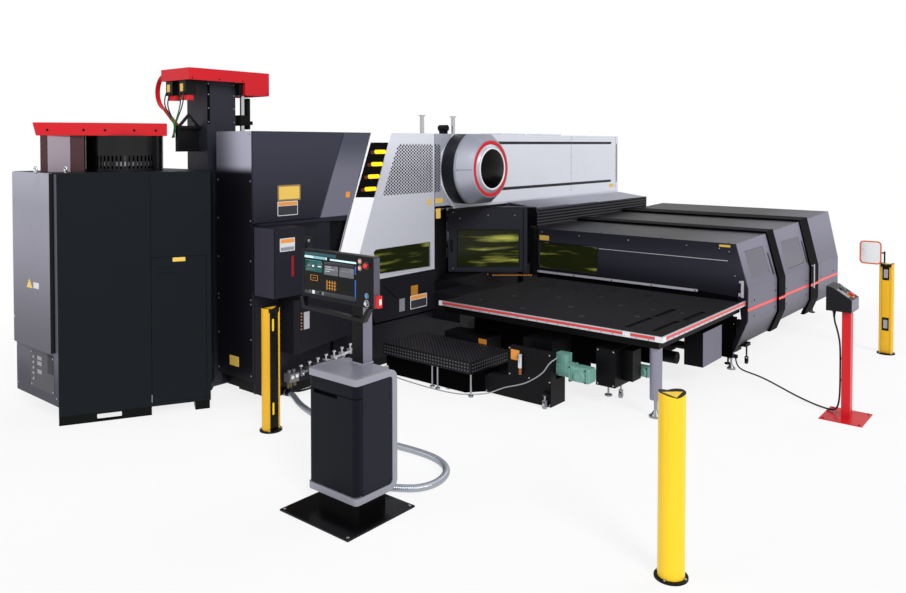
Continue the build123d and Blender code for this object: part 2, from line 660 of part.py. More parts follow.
def magazine_hood():
    """Round black hood over the tool drum with vent slots, and the flat cases on its left."""
    height = HOOD_TOP - MAG_TOP
    shell = Pos(*HOOD_C, MAG_TOP + height / 2) * (Cylinder(HOOD_R, height) - Cylinder(HOOD_R - 8, height + 2))
    cx, cy = HOOD_C
    middle = math.atan2(FACE_OUT[1], FACE_OUT[0])
    for index in range(15):
        angle = middle - 0.75 + 0.107 * index
        x, y = cx + HOOD_R * math.cos(angle), cy + HOOD_R * math.sin(angle)
        shell -= Pos(x, y, 2326) * Rot(0, 0, math.degrees(angle)) * Box(40, 17, 122)
    case = from_face(block(-94, 98, 300, 620, MAG_TOP, HOOD_TOP))
    wing = from_face(block(-150, 212, 306, 620, MAG_TOP, HOOD_TOP))
    wing -= Pos(cx, cy, MAG_TOP + height / 2) * Cylinder(HOOD_R + 1, height + 2)
    wing -= from_face(block(-95, 99, 299, 621, MAG_TOP - 1, HOOD_TOP + 1))
    back = from_face(block(540, 580, 902, 907, MAG_TOP, HOOD_TOP))
    return [shell + back, case, wing]


def magazine_rim():
    """Red band that closes the hood, with its inner shelf and five screws."""
    height = RIM_TOP - HOOD_TOP
    band = Pos(0, 0, HOOD_TOP) * extrude(rim_plan(0), height)
    band -= Pos(0, 0, HOOD_TOP - 1) * extrude(rim_plan(-8), height - 7)
    shelf = Pos(0, 0, HOOD_TOP + 0.3) * extrude(rim_plan(-6), 6)
    band += shelf - Pos(560, 560, HOOD_TOP) * Cylinder(332, 40)
    for along in (-90, 210, 390, 640, 830):
        front = RIM_SIDES[2] - 55 * (1 - ((along - 373) / 559) ** 2)
        band += rod((along, front - 5, 2624), (along, front + 10, 2624), 7)
    wing = prism([(-185, 320, HOOD_TOP), (-212, 320, RIM_TOP), (-185, 320, RIM_TOP)], (0, 500, 0))
    return from_face(band + wing)


def tool_drum():
    """Turning tool drum: shaft with four pocketed discs."""
    cx, cy = HOOD_C
    drum = rod((cx, cy, 202), (cx, cy, 2540), 55)
    disc = rod((cx, cy, 0), (cx, cy, 40), 320)
    for index in range(16):
        angle = 2 * math.pi * index / 16
        x, y = cx + 290 * math.cos(angle), cy + 290 * math.sin(angle)
        disc -= rod((x, y, -1), (x, y, 41), 36)
    for z in (420, 1000, 1580, 2290):
        drum += Pos(0, 0, z) * disc
    return drum


def lift_column():
    """Column of the tool lift with its brackets, guide rods and rod blocks."""
    body = block(COL_X0, COL_X1, COL_Y0, COL_Y1, 0, COL_TOP)
    front = COL_Y0 - 265
    left, right = BRACKET_X0, BRACKET_X0 + 46
    body += block(left, right, front, COL_Y0, 2652, 2680)
    body += block(left, right, front, COL_Y0, 2419, 2447)
    body += block(left, right, front, front + 16, 2419, 2680)
    body += block(left, left + 8, front, COL_Y0, 2419, 2680)
    rib = [(COL_Y0 - 10, 2678), (COL_Y0 - 130, 2808), (COL_Y0 - 250, 2678), (COL_Y0 - 216, 2678),
           (COL_Y0 - 130, 2772), (COL_Y0 - 44, 2678)]
    body += along_x(rib, left + 10, left + 34)
    body += block(COL_X0 + 40, COL_X1, COL_Y1 - 1, -2090, 820, 900)
    body += block(COL_X0 + 40, COL_X1, COL_Y1 - 1, -2090, 3150, COL_TOP)
    for x in ROD_X:
        body += rod((x, ROD_Y, 880), (x, ROD_Y, 3160), ROD_R)
    return body


BRACKET_X0 = -660
ROD_X = (-760, -545)
ROD_Y = -2150


def tool_shuttle():
    """Carriage that runs on the guide rods and carries a tool gripper."""
    carriage = block(-800, -506, -2200, -2100, 2690, 2800)
    for x in ROD_X:
        carriage -= rod((x, ROD_Y, 2600), (x, ROD_Y, 2900), ROD_R + 0.06)
    arm = block(-620, -520, -2101, -2066, 2650, 2980)
    jaws = block(-700, -660, -2101, -1990, 2700, 2740) + block(-620, -580, -2067, -1990, 2700, 2740)
    return carriage + arm + jaws


def lift_hood():
    """Red sheet hood over the lift with its drop end and the curved guard hoop."""
    x0, x1 = -918, -406
    y0, y1 = -2864, -1904
    top, low, drop = 3250, 3132, 3006
    outline = [(y0, top), (y1, top), (y1, drop), (-2211, drop), (-2211, low), (y0, low)]
    shell = along_x(outline, x0, x1)
    inner = [(y0 + 8, top - 8), (y1 - 8, top - 8), (y1 - 8, drop - 1), (-2203, drop - 1),
             (-2203, low - 1), (y0 + 8, low - 1)]
    shell -= along_x(inner, x0 + 8, x1 - 8)
    y = y0 + 30
    bend = ThreePointArc((x0 + 4, y, 3200), (-1040, y, 3035), (-905, y, 2850))
    route = Wire([bend, Line((-905, y, 2850), (BRACKET_X0 - 10, y, 2676))])
    start = Plane(origin=route @ 0, z_dir=route % 0, x_dir=(0, 1, 0))
    strip = sweep(start * Rectangle(50, 8), path=route, transition=Transition.RIGHT)
    return [shell, strip]


def hood_motors():
    """Two black drive motors hung under the hood on red flanges, with their cables."""
    parts = []
    for x in (-800, -560):
        body = block(x - 60, x + 60, -2846, -2730, 2985, 3240)
        flange = rod((x, -2788, 2935), (x, -2788, 2984.5), 62)
        parts += [body, flange]
    starts = ((-846, -2852, 3010), (-770, -2852, 3000), (-590, -2852, 3000), (-530, -2852, 3010))
    for index, (x, y, z) in enumerate(starts):
        end = BRACKET_X0 - 8 + 14 * index
        mid = (x + end) / 2 + (-60 if index < 2 else 50)
        route = Spline((x, y, z), (mid, y - 22, 2860), (end, y - 26, 2700), (end - 30, y - 26, 2560))
        start = Plane(origin=route @ 0, z_dir=route % 0)
        parts.append(sweep(start * Circle(6), path=route))
    return parts


def turret():
    """Turning tool turret: a shaft with an upper and a lower disc, with tool holes."""
    cx, cy = -500, 1100
    parts = [rod((cx, cy, 942), (cx, cy, 1470), 80)]
    for z0, z1 in ((980, 1100), (1330, 1450)):
        disc = rod((cx, cy, z0), (cx, cy, z1), 370) - rod((cx, cy, z0 - 1), (cx, cy, z1 + 1), 80)
        for index in range(20):
            angle = 2 * math.pi * index / 20
            x, y = cx + 320 * math.cos(angle), cy + 320 * math.sin(angle)
            disc -= rod((x, y, z0 - 1), (x, y, z1 + 1), 30)
        parts.append(disc)
    return parts


def punch_ram():
    """Ram that comes down on the tool in the upper turret disc."""
    return rod((-180, 1100, 1490), (-180, 1100, 1690), 28) + rod((-180, 1100, 1640), (-180, 1100, 1695), 50)


def laser_carriage():
    """Carriage that carries the laser head along the rail."""
    plate = block(521, 560, 1700, 1960, 1270, 1388)
    return plate + block(559, 623, 1760, 1900, 1290, 1380)


def laser_head():
    """Laser cutting head with its nozzle and the carriage that runs along the inner rail."""
    body = block(622, 720, 1775, 1885, 1100, 1390) + laser_carriage()
    cone = Pos(671, 1830, 1060) * Rot(180, 0, 0) * Cone(48, 12, 80)
    return body + cone + rod((671, 1830, 940), (671, 1830, 1030), 12)


def sheet_carriage():
    """Sheet carriage on the rear rail with its three clamps."""
    carriage = block(1500, 2100, 4880, 5020, 1121, 1220)
    for x in (1540, 1770, 2000):
        jaw = block(x, x + 60, 4720, 4881, 1130, 1200) - block(x - 1, x + 61, 4719, 4800, 1158, 1166)
        carriage += jaw
    return carriage


def table_frame():
    """Black table carcase with its tube leg at the front corner and the box at its right end."""
    low, high = TABLE_TOP - 110, TABLE_TOP - 41
    rim = block(TABLE_X0 + 60, TABLE_X1 - 40, TABLE_Y0 + 30, TABLE_Y1, low, high)
    rim -= block(TABLE_X0 + 160, TABLE_X1 - 160, TABLE_Y0 + 170, TABLE_Y1 - 100, low - 1, high - 20)
    leg = rod((3401, -500, 165), (3401, -500, low + 1), 56) + rod((3401, -500, 60), (3401, -500, 170), 17)
    leg += rod((3401, -500, 0), (3401, -500, 16), 62) + Pos(3401, -500, 40) * Cone(52, 17, 50)
    for x in (1400, 2800):
        leg += block(x, x + 60, 1380, 1440, 500, low + 1) + block(x, x + 60, 1430, 1599.5, 500, 560)
    roller = rod((3060, 200, 380), (3300, 200, 380), 60) + rod((3240, 560, 420), (3060, 560, 420), 40)
    roller += block(3060, 3110, 180, 600, 360, high - 19)
    box = block(3240, 3440, 500, 1000, 240, 590) + block(3260, 3330, 560, 640, 580, high - 19)
    return [rim + leg + roller + box]


def table_top():
    """Perforated brush table top with two open slots near its right end."""
    plate = block(TABLE_X0, TABLE_X1, TABLE_Y0, TABLE_Y1, TABLE_TOP - 40, TABLE_TOP)
    for x0, x1, y0, y1 in ((3030, 3080, -391, 120), (3040, 3090, 190, 655),
                           (3300, 3350, -382, 150), (3325, 3375, 230, 724)):
        plate -= block(x0, x1, y0, y1, TABLE_TOP - 12, TABLE_TOP + 1)
    return plate


def table_trim():
    """Light edging along the front and right of the table with its red band and corner blocks."""
    low, high = TABLE_TOP - 36, TABLE_TOP + 16
    front = block(TABLE_X0 + 10, TABLE_X1, TABLE_Y0 - 16, TABLE_Y0 - 0.5, low, high)
    side = block(TABLE_X1 + 0.5, TABLE_X1 + 16, TABLE_Y0, 1290, low, high)
    corner = block(TABLE_X1 + 0.5, TABLE_X1 + 16, TABLE_Y0 - 16, TABLE_Y0 - 0.5, low, high)
    front -= block(TABLE_X0 + 60, 3120, TABLE_Y0 - 17, TABLE_Y0 - 12, low + 18, high - 8)
    front -= block(3200, TABLE_X1 - 60, TABLE_Y0 - 17, TABLE_Y0 - 12, low + 18, high - 8)
    side -= block(TABLE_X1 + 12, TABLE_X1 + 17, TABLE_Y0 + 60, 1270, low + 18, high - 8)
    return [front, side, corner]


def scrap_conveyor():
    """Scrap conveyor under the table: stepped main case, side case with feet and casters."""
    main = along_y([(1770, 14), (2548, 14), (2548, 262), (2052, 262), (2052, 232), (1770, 178)], -930, -680)
    main -= along_y([(1775, 230), (1775, 150), (2040, 205), (2040, 260)], -915, -695)
    main += block(2052, 2548, -930, -842, 261, 520)
    upper = block(2060, 2400, -679.5, -320, 346, 560)
    case = block(2816, 3018, -560, -250, 200, 560)
    case += block(3017, 3130, -420, -250, 250, 540)
    case += block(2730, 2940, -262, -180, 200, 236)
    parts = [main + upper, case]
    parts.append(level_foot(2768, -222, 199.5))
    parts.append(caster(2900, -214, 199.5))
    parts.append(caster(2500, -962, 150) + block(2480, 2520, -980, -930.5, 130, 160))
    sight = rod((2212, -952, 280), (2212, -952, 340), 12) + rod((2212, -952, 340), (2212, -952, 470), 24)
    parts.append(sight + block(2200, 2224, -953, -930.5, 380, 410))
    for index in range(7):
        x = 1800 + 36 * index
        z = 158 + 7.2 * index
        parts.append(block(x, x + 14, -914, -696, z - 4, z + 14))
    return parts


def gear_motors():
    """Two green gear motors: motor, terminal box and gear case with its round boss."""
    parts = []
    for x0, y, z, scale in ((2463, -740, 376, 1.0), (2880, -140, 330, 0.62)):
        length = 200 * scale
        r = 83 * scale
        start = x0 + length
        body = rod((x0, y, z), (start, y, z), r) + rod((x0 - 22, y, z), (x0 + 8, y, z), r * 0.84)
        box = block(x0 + 50 * scale, x0 + 196 * scale, y - 58 * scale, y + 58 * scale, z, z + r + 46 * scale)
        gear = block(start - 4, start + 268 * scale, y - 78 * scale, y + 78 * scale,
                     z - 101 * scale, z + 96 * scale)
        gear = fillet(gear.edges().filter_by(Axis.X), 20 * scale)
        boss_x = start + 130 * scale
        boss = rod((boss_x, y - 98 * scale, z - 26 * scale), (boss_x, y, z - 26 * scale), 62 * scale)
        parts.append(body + box + gear + boss)
    return parts


def step_platform():
    """Perforated step in front of the conveyor on threaded feet, with the block behind it."""
    x0, x1, y0, y1, low, high = 560, 1768, -1150, -510, 228, 352
    tread = block(x0, x1, y0, y1, low, high) - block(x0 + 8, x1 - 8, y0 + 8, y1 - 8, low - 1, high - 6)
    for x, y in ((1235, -1120), (1320, -1136), (1400, -1060), (1742, -1124), (620, -1020), (620, -560),
                 (1700, -560)):
        tread += level_foot(x, y, high - 4, 9, 26)
        tread += block(x - 13, x + 13, y - 13, y + 13, high - 24, high - 4)
    return [tread, block(860, 1450, -480, -220, 250, 408)]


def console_base():
    """Floor plate, plinth, column and hose elbow of the operator console."""
    plate = block(2232, 2906, -3850, -3225, 0, 12)
    plinth = block(2345, 2735, -3590, -3340, 12, CON_LOW)
    column = block(2434, 2544, -3365, -3275, CON_TOP, 1560)
    first, second = Vector(*HOSE[0]), Vector(*HOSE[1])
    run = (second - first).normalized()
    tip, inner = first - run * 3, first - run * 60
    elbow = rod((inner.X, inner.Y, inner.Z), (tip.X, tip.Y, tip.Z), 33)
    elbow += rod((2512, -3345, inner.Z), (inner.X, inner.Y, inner.Z), 30)
    return [plate + plinth + elbow, column]


def console_band():
    """Silver band: top, back and bottom of the console in one bent piece."""
    x0, x1 = CON_X0, CON_X1
    outer = block(x0, x1, CON_Y0, CON_Y1, CON_LOW, CON_TOP)
    outer = fillet(outer.edges().filter_by(Axis.X).group_by(Axis.Y)[-1], 70)
    outer = fillet(upright_edges(outer).group_by(Axis.Y)[0], 30)
    inner = block(x0 - 1, x1 + 1, CON_Y0 - 1, CON_Y1 - BAND, CON_LOW + BAND, CON_TOP - BAND)
    inner = fillet(inner.edges().filter_by(Axis.X).group_by(Axis.Y)[-1], 28)
    return outer - inner


def console_shell():
    """Dark case of the console, open at the front for the drawer and the door."""
    x0, x1 = CON_X0 + 6, CON_X1 - 6
    y0, y1 = CON_Y0 + 66, CON_Y1 - BAND - 0.5
    low, high = CON_LOW + BAND + 0.5, CON_TOP - BAND - 0.5
    case = block(x0, x1, y0, y1, low, high)
    case = fillet(case.edges().filter_by(Axis.X).group_by(Axis.Y)[-1], 28)
    case -= block(x0 + 14, x1 - 14, y0 - 1, y1 - 14, 822, high - 10)
    case -= block(x0 + 14, x1 - 14, y0 - 1, y1 - 14, low + 14, 800)
    return case


def console_front(z0, z1):
    """Rounded front piece of the console between two heights."""
    front = block(CON_X0 + 6, CON_X1 - 6, CON_Y0 + 4, CON_Y0 + 63, z0, z1)
    return fillet(upright_edges(front).group_by(Axis.Y)[0], 38)


def console_drawer():
    """Upper drawer with its open tray."""
    front = console_front(818, 902)
    x0, x1 = CON_X0 + 26, CON_X1 - 26
    tray = block(x0, x1, CON_Y0 + 62, CON_Y1 - BAND - 30, 828, 888)
    tray -= block(x0 + 6, x1 - 6, CON_Y0 + 68, CON_Y1 - BAND - 36, 834, 889)
    return front + tray


def console_door():
    """Lower door with the pull slot along its upper edge."""
    door = console_front(168, 812)
    return door - block(CON_X0 + 60, CON_X0 + 300, CON_Y0, CON_Y0 + 40, 788, 813)


SWIVEL = (2489, -3320)


def screen_head():
    """Screen housing with its side panel, grip loop, rear arm, and holes for the controls."""
    head = block(HEAD_X0, HEAD_X1, HEAD_Y0, HEAD_Y1, HEAD_Z0, HEAD_Z1)
    head = fillet(head.edges().filter_by(Axis.Y), 10)
    head -= block(2198, 2737, HEAD_Y0 - 1, HEAD_Y0 + 6, 1443, 1750)
    for control in CONTROLS.values():
        x, z, radius = control
        head -= rod((x, HEAD_Y0 - 1, z), (x, HEAD_Y0 + 26, z), radius + 1)
    loop = [(HEAD_X0 + 6, 1426), (HEAD_X0 + 36, 1426), (HEAD_X0 + 52, 1372), (2800, 1356),
            (2846, 1426), (2876, 1426), (2820, 1330), (HEAD_X0 + 26, 1346)]
    grip = along_y(loop, HEAD_Y0 - 26, HEAD_Y0 + 10)
    arm = block(2440, 2538, HEAD_Y1 - 1, SWIVEL[1] + 50, 1564, 1624)
    pin = rod((*SWIVEL, 1561), (*SWIVEL, 1566), 40)
    hook = block(HEAD_X1 - 1, HEAD_X1 + 32, HEAD_Y0 + 10, HEAD_Y0 + 46, 1432, 1510)
    return head + grip + arm + pin + hook


CONTROLS = {"console_start_button": (2763, 1726, 13), "console_stop_button": (2763, 1681, 13),
            "console_estop": (2826, 1703, 20), "console_reset_button": (2826, 1505, 12),
            "console_selector": (2826, 1455, 16)}


def console_control(name):
    """One control of the screen head: stem in its hole with a cap in front."""
    x, z, radius = CONTROLS[name]
    face = HEAD_Y0
    stem = rod((x, face - 6, z), (x, face + 18, z), radius)
    if name == "console_estop":
        return stem + rod((x, face - 24, z), (x, face - 6, z), radius + 6)
    if name == "console_selector":
        return stem + block(x - 5, x + 5, face - 20, face - 5, z - 18, z + 18)
    return stem + rod((x, face - 9, z), (x, face - 5, z), radius - 2)


def screen_glass():
    """Display pane in the screen head."""
    return block(2199, 2736, HEAD_Y0, HEAD_Y0 + 5.5, 1444, 1749)


def safety_posts():
    """Three light-curtain posts: yellow back, dark window, cap, floor flange."""
    parts = []
    for x, y, turn in POSTS.values():
        place = Pos(x, y, 0) * Rot(0, 0, turn)
        round_bar = Pos(0, 0, 14) * Cylinder(POST_R, POST_H - 34, align=(Align.CENTER, Align.CENTER, Align.MIN))
        back = round_bar - block(20, 200, -200, 200, 0, POST_H)
        window = block(20.5, 52, -44, 44, 14, POST_H - 20)
        cheeks = block(20, 50, -62, -45, 14, POST_H - 20) + block(20, 50, 45, 62, 14, POST_H - 20)
        cap = Pos(0, 0, POST_H - 20) * Cylinder(POST_R, 20, align=(Align.CENTER, Align.CENTER, Align.MIN))
        cap -= Pos(0, 0, POST_H + 40) * Rot(90, 0, 0) * Cylinder(56, 200)
        flange = Cylinder(98, 14, align=(Align.CENTER, Align.CENTER, Align.MIN))
        for shape in (back + cheeks, window, cap, flange):
            parts.append(place * shape)
    x, y, turn = POSTS["rear"]
    arm = rod((x - 20, y - 30, POST_H - 1), (x - 20, y - 30, POST_H + 140), 9)
    arm += rod((x - 14, y - 30, MIRROR_PIVOT[2]), (4404, y - 30, MIRROR_PIVOT[2]), 9)
    arm += block(4404, 4414, MIRROR_PIVOT[1] + 4, y - 20, MIRROR_PIVOT[2] - 12, MIRROR_PIVOT[2] + 12)
    parts.append(arm)
    return parts


MIRROR_PIVOT = (4393, 3236, 1200)


def mirror():
    """Framed safety mirror with its lug, tilting on the post's arm."""
    x, y, z = MIRROR_PIVOT
    frame = block(x - 118, x + 118, y - 22, y - 6, z - 138, z + 138)
    frame = fillet(frame.edges().filter_by(Axis.Y), 16)
    frame -= block(x - 104, x + 104, y - 23, y - 18, z - 124, z + 124)
    pane = block(x - 103, x + 103, y - 21, y - 18.01, z - 123, z + 123)
    lug = block(x - 10, x + 10, y - 7, y + 16, z - 10, z + 10)
    return [frame + lug, pane]


def station_stand():
    """Red floor plate and post of the push-button stand with its cable clips."""
    plate = block(4560, 4920, 400, 820, 0, 8)
    post = block(STAND_X0, STAND_X1, STAND_Y0, STAND_Y1, 7, 978)
    clips = block(4684, STAND_X0 + 1, 623, 627, 320, 336) + block(4684, STAND_X0 + 1, 623, 627, 520, 536)
    return plate + post + clips


def station_box():
    """Push-button box with its slanted top and cable gland."""
    outline = [(4588, 979), (4805, 979), (4805, 1090), (4640, 1194), (4588, 1202)]
    box = along_y(outline, 500, 760)
    for name in STATION:
        x, y = STATION[name][:2]
        box -= station_place(x, y) * Pos(0, 0, -20) * Cylinder(STATION[name][2] + 1, 60)
    gland = rod((4635, 600, 944), (4635, 600, 980), 13)
    return box + gland


STATION = {"station_button": (4684, 700, 15), "station_estop": (4762, 640, 20)}


def station_place(x, y):
    """Place on the slanted top of the push-button box."""
    slope = (1194 - 1090) / (4805 - 4640)
    z = 1194 - (x - 4640) * slope
    return Pos(x, y, z) * Rot(0, math.degrees(math.atan(slope)), 0)


def station_control(name):
    """Push button or stop button of the red stand."""
    x, y, radius = STATION[name]
    body = Pos(0, 0, -4) * Cylinder(radius, 24)
    if name == "station_estop":
        body += Pos(0, 0, 16) * Cylinder(radius + 7, 18)
    else:
        body += Pos(0, 0, 9) * Cylinder(radius - 3, 4)
    return station_place(x, y) * body


# Routes of the free hose and cables, with their diameters
HOSE_D = 56
HOSE = [(2560, -3228, 46), (2680, -3135, 36), (2788, -3030, 30), (2821, -2860, 29), (2740, -2665, 29),
        (2560, -2555, 29), (2334, -2535, 29), (2040, -2566, 29), (1700, -2592, 29), (1330, -2566, 29),
        (1010, -2502, 29), (698, -2408, 31), (520, -2322, 37), (405, -2268, 40), (335, -2268, 40)]
STATION_D = 16
STATION_LINE = [(4635, 600, 944), (4635, 600, 880), (4660, 602, 800), (4684, 606, 690), (4688, 612, 560),
                (4688, 614, 420), (4688, 614, 280), (4684, 616, 150), (4660, 630, 50), (4598, 668, 20),
                (4470, 742, 11), (4330, 842, 8.5), (4180, 960, 8.5), (4002, 1123, 8.5),
                (3830, 1276, 8.5), (3680, 1384, 8.5), (3560, 1440, 9), (3480, 1464, 20),
                (3428, 1472, 66), (3420, 1472, 130)]
CONVEYOR_D = 12
CONVEYOR_LINE = [(2530, -805, 476), (2560, -840, 474), (2570, -890, 470), (2552, -938, 452), (2515, -944, 406),
                 (2482, -941, 352), (2425, -940, 300), (2345, -939, 243), (2250, -938, 188),
                 (2140, -938, 146), (2020, -938, 106), (1930, -944, 62), (1850, -975, 22),
                 (1770, -1034, 9), (1690, -1100, 7), (1600, -1150, 7), (1470, -1176, 7),
                 (1310, -1182, 7), (1150, -1178, 7), (980, -1166, 7), (810, -1148, 7),
                 (650, -1118, 8), (500, -1072, 12), (405, -1050, 16), (330, -1050, 16)]


def cord(points, diameter):
    """Free cord: a round tube along straight runs joined by tangent arcs."""
    spots = [Vector(*p) for p in points]
    radii = []
    for before, here, after in zip(spots, spots[1:], spots[2:]):
        turn = math.radians((here - before).get_angle(after - here))
        shorter = min((here - before).length, (after - here).length)
        radii.append(0.45 * shorter / math.tan(turn / 2))
    line = FilletPolyline(*spots, radius=radii)
    start = Plane(origin=line @ 0, z_dir=line % 0)
    tube = sweep(start * Circle(diameter / 2), path=line)
    section = math.pi * diameter ** 2 / 4
    print(f"cord {diameter} mm: length {line.length:.0f}, volume ratio "
          f"{tube.volume / (section * line.length):.4f}, radii {[round(r) for r in radii]}")
    return tube


def build():
    """Make every node of the machine."""
    keep("machine_frame", machine_frame(), *top_posts())
    keep("frame_panels", *frame_panels())
    keep("access_door", access_door())
    keep("silver_cover", *silver_cover())
    keep("status_lamps", *status_lamps())
    keep("tinted_windows", *tinted_windows())
    keep("enclosure_sections", *enclosure_sections())
    keep("enclosure_ribs", *enclosure_ribs())
    keep("enclosure_front", enclosure_front())
    keep("enclosure_rail", *enclosure_rail())
    keep("enclosure_frame", *enclosure_frame())
    keep("bellows_cover", *bellows_cover())
    keep("beam_cover", beam_cover())
    keep("drum_shell", drum_shell())
    keep("drum_cap", *drum_cap())
    keep("corner_door", *corner_door())
    keep("lower_covers", *lower_covers())
    keep("air_unit", air_unit())
    keep("left_cover", *left_cover())
    keep("magazine_cabinet", *magazine_cabinet())
    keep("magazine_door", magazine_door())
    keep("electric_door", electric_door())
    keep("magazine_hood", *magazine_hood())
    keep("magazine_rim", magazine_rim())
    keep("tool_drum", tool_drum())
    keep("lift_column", lift_column())
    keep("tool_shuttle", tool_shuttle())
    keep("lift_hood", *lift_hood())
    keep("hood_motors", *hood_motors())
    keep("turret", *turret())
    keep("punch_ram", punch_ram())
    keep("laser_head", laser_head())
    keep("sheet_carriage", sheet_carriage())
    keep("table_frame", *table_frame())
    keep("table_top", table_top())
    keep("table_trim", *table_trim())
    keep("scrap_conveyor", *scrap_conveyor())
    keep("gear_motors", *gear_motors())
    keep("step_platform", *step_platform())
    keep("console_base", *console_base())
    keep("console_band", console_band())
    keep("console_shell", console_shell())
    keep("console_drawer", console_drawer())
    keep("console_door", console_door())
    keep("screen_head", screen_head())
    keep("screen_glass", screen_glass())
    for name in CONTROLS:
        keep(name, console_control(name))
    keep("safety_posts", *safety_posts())
    keep("mirror", *mirror())
    keep("station_stand", station_stand())
    keep("station_box", station_box())
    for name in STATION:
        keep(name, station_control(name))
    keep("console_hose", cord(HOSE, HOSE_D))
    keep("station_cable", cord(STATION_LINE, STATION_D))
    keep("conveyor_cable", cord(CONVEYOR_LINE, CONVEYOR_D))


build()
os.makedirs("parts", exist_ok=True)
for node_name, node_shape in NODES.items():
    export_step(node_shape, f"parts/{node_name}.step")
print(len(NODES), "nodes")
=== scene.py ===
import logging
import math
from dataclasses import dataclass
from enum import Enum

import bpy
import numpy as np
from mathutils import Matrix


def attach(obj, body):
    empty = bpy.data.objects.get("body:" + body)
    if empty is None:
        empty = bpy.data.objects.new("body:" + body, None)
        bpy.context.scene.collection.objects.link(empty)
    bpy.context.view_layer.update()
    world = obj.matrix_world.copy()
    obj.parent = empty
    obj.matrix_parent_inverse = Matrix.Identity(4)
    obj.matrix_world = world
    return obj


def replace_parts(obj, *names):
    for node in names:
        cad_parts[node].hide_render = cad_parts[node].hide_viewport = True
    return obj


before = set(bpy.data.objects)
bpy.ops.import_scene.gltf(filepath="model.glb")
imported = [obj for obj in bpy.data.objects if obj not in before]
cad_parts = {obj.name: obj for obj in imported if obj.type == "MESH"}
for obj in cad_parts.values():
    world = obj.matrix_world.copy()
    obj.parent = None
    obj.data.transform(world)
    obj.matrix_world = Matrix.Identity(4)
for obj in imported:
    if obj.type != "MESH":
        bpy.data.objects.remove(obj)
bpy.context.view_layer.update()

# Looks of the punching and laser cutting machine. Sizes are millimetres in the part's own frame,
# and to_metres turns them into the scene's metres in one place.

LOG = logging.getLogger("machine")
MM = 0.001
FAR = 9000.0  # past every face of the machine, for a zone that is open on that side
SEAM_LEAN = 0.382  # the slanted seams go this far to the front for each unit down
SEAM_TOP = 2620.0  # the height at which a slanted seam's own y is given
# The panes up to LIT_TO glow with painted light that stands for the lit inside.
LIT_TO = 3300.0  # the panes up to this x show the lit inside
X, Y, Z = range(3)

Triple = tuple[float, float, float]
Pair = tuple[float, float]
Spots = list[Pair] | np.ndarray


def to_metres(points: np.ndarray) -> np.ndarray:
    """Turn millimetres into metres."""
    return np.asarray(points, float) * MM


def linear(colour: str) -> tuple[float, float, float, float]:
    """Turn an sRGB hex colour, "#rrggbb", into linear red, green and blue with an alpha of one.

    Args:
        colour: the hex colour.

    Returns:
        Red, green, blue and alpha.
    """
    raw = np.array([int(colour[i:i + 2], 16) / 255 for i in (1, 3, 5)])
    light = np.where(raw <= 0.04045, raw / 12.92, ((raw + 0.055) / 1.055) ** 2.4)
    return (*light.tolist(), 1.0)


def add_node(tree: bpy.types.NodeTree, kind: str, inputs: dict | None = None, **settings) -> bpy.types.Node:
    """Add one shader node.

    Args:
        tree: node tree that gets it.
        kind: the node's type, without its leading "ShaderNode".
        inputs: for each input its value, or the socket or node that feeds it.
        settings: the node's own properties.

    Returns:
        The new node.
    """
    node = tree.nodes.new("ShaderNode" + kind)
    for key, value in settings.items():
        setattr(node, key, value)
    for key, value in (inputs or {}).items():
        if isinstance(value, bpy.types.Node):
            value = value.outputs[0]
        if isinstance(value, bpy.types.NodeSocket):
            tree.links.new(value, node.inputs[key])
        else:
            node.inputs[key].default_value = value
    return node


class Surface(Enum):
    """How a finish feels to the hand."""

    SMOOTH = "smooth"
    PEEL = "powder coat"
    WRINKLE = "wrinkle coat"
    BRUSHED = "brushed"
    BRISTLE = "bristle"
    FILTER = "filter glass"


SMOOTH, PEEL, WRINKLE, BRUSHED, BRISTLE, FILTER_GLASS = Surface


@dataclass(frozen=True)
class Zone:
    """Box of the part, in mm, with a colour of its own or of painted light and shade, that may lean with the slanted
    seams or fade in as painted light does.
    """

    colour: str
    roughness: float = 0.45
    metallic: float = 0.0
    x0: float = -FAR
    x1: float = FAR
    y0: float = -FAR
    y1: float = FAR
    z0: float = -FAR
    z1: float = FAR
    leans: bool = False
    fade: tuple[int, float, float] | None = None

    def mask(self, tree: bpy.types.NodeTree, place: bpy.types.NodeSocket) -> bpy.types.Node:
        """Build the nodes that are one inside the box: the largest of |p - centre| - half is below zero.

        Args:
            tree: node tree.
            place: socket with the point in the part's frame.

        Returns:
            Node with the mask.
        """
        if self.leans:
            xyz = add_node(tree, "SeparateXYZ", {0: place}).outputs
            shift = add_node(tree, "Math", {0: xyz[Z], 1: -SEAM_LEAN, 2: SEAM_LEAN * SEAM_TOP * MM},
                             operation="MULTIPLY_ADD")
            level = add_node(tree, "Math", {0: xyz[Y], 1: shift}, operation="ADD")
            place = add_node(tree, "CombineXYZ", {0: xyz[X], 1: level, 2: xyz[Z]}).outputs[0]
        low, high = to_metres([(self.x0, self.y0, self.z0), (self.x1, self.y1, self.z1)])
        moved = add_node(tree, "VectorMath", {0: place, 1: (low + high) / 2}, operation="SUBTRACT")
        size = add_node(tree, "VectorMath", {0: moved}, operation="ABSOLUTE")
        over = add_node(tree, "VectorMath", {0: size, 1: (high - low) / 2}, operation="SUBTRACT")
        xyz = add_node(tree, "SeparateXYZ", {0: over}).outputs
        flat = add_node(tree, "Math", {0: xyz[X], 1: xyz[Y]}, operation="MAXIMUM")
        solid = add_node(tree, "Math", {0: flat, 1: xyz[Z]}, operation="MAXIMUM")
        mask = add_node(tree, "Math", {0: solid, 1: 0.0}, operation="LESS_THAN")
        if self.fade is None:
            return mask
        axis, start, end = self.fade
        point = add_node(tree, "SeparateXYZ", {0: place}).outputs
        ramp = add_node(tree, "MapRange", {0: point[axis], 1: start * MM, 2: end * MM},
                        interpolation_type="SMOOTHSTEP")
        return add_node(tree, "Math", {0: mask, 1: ramp}, operation="MULTIPLY")


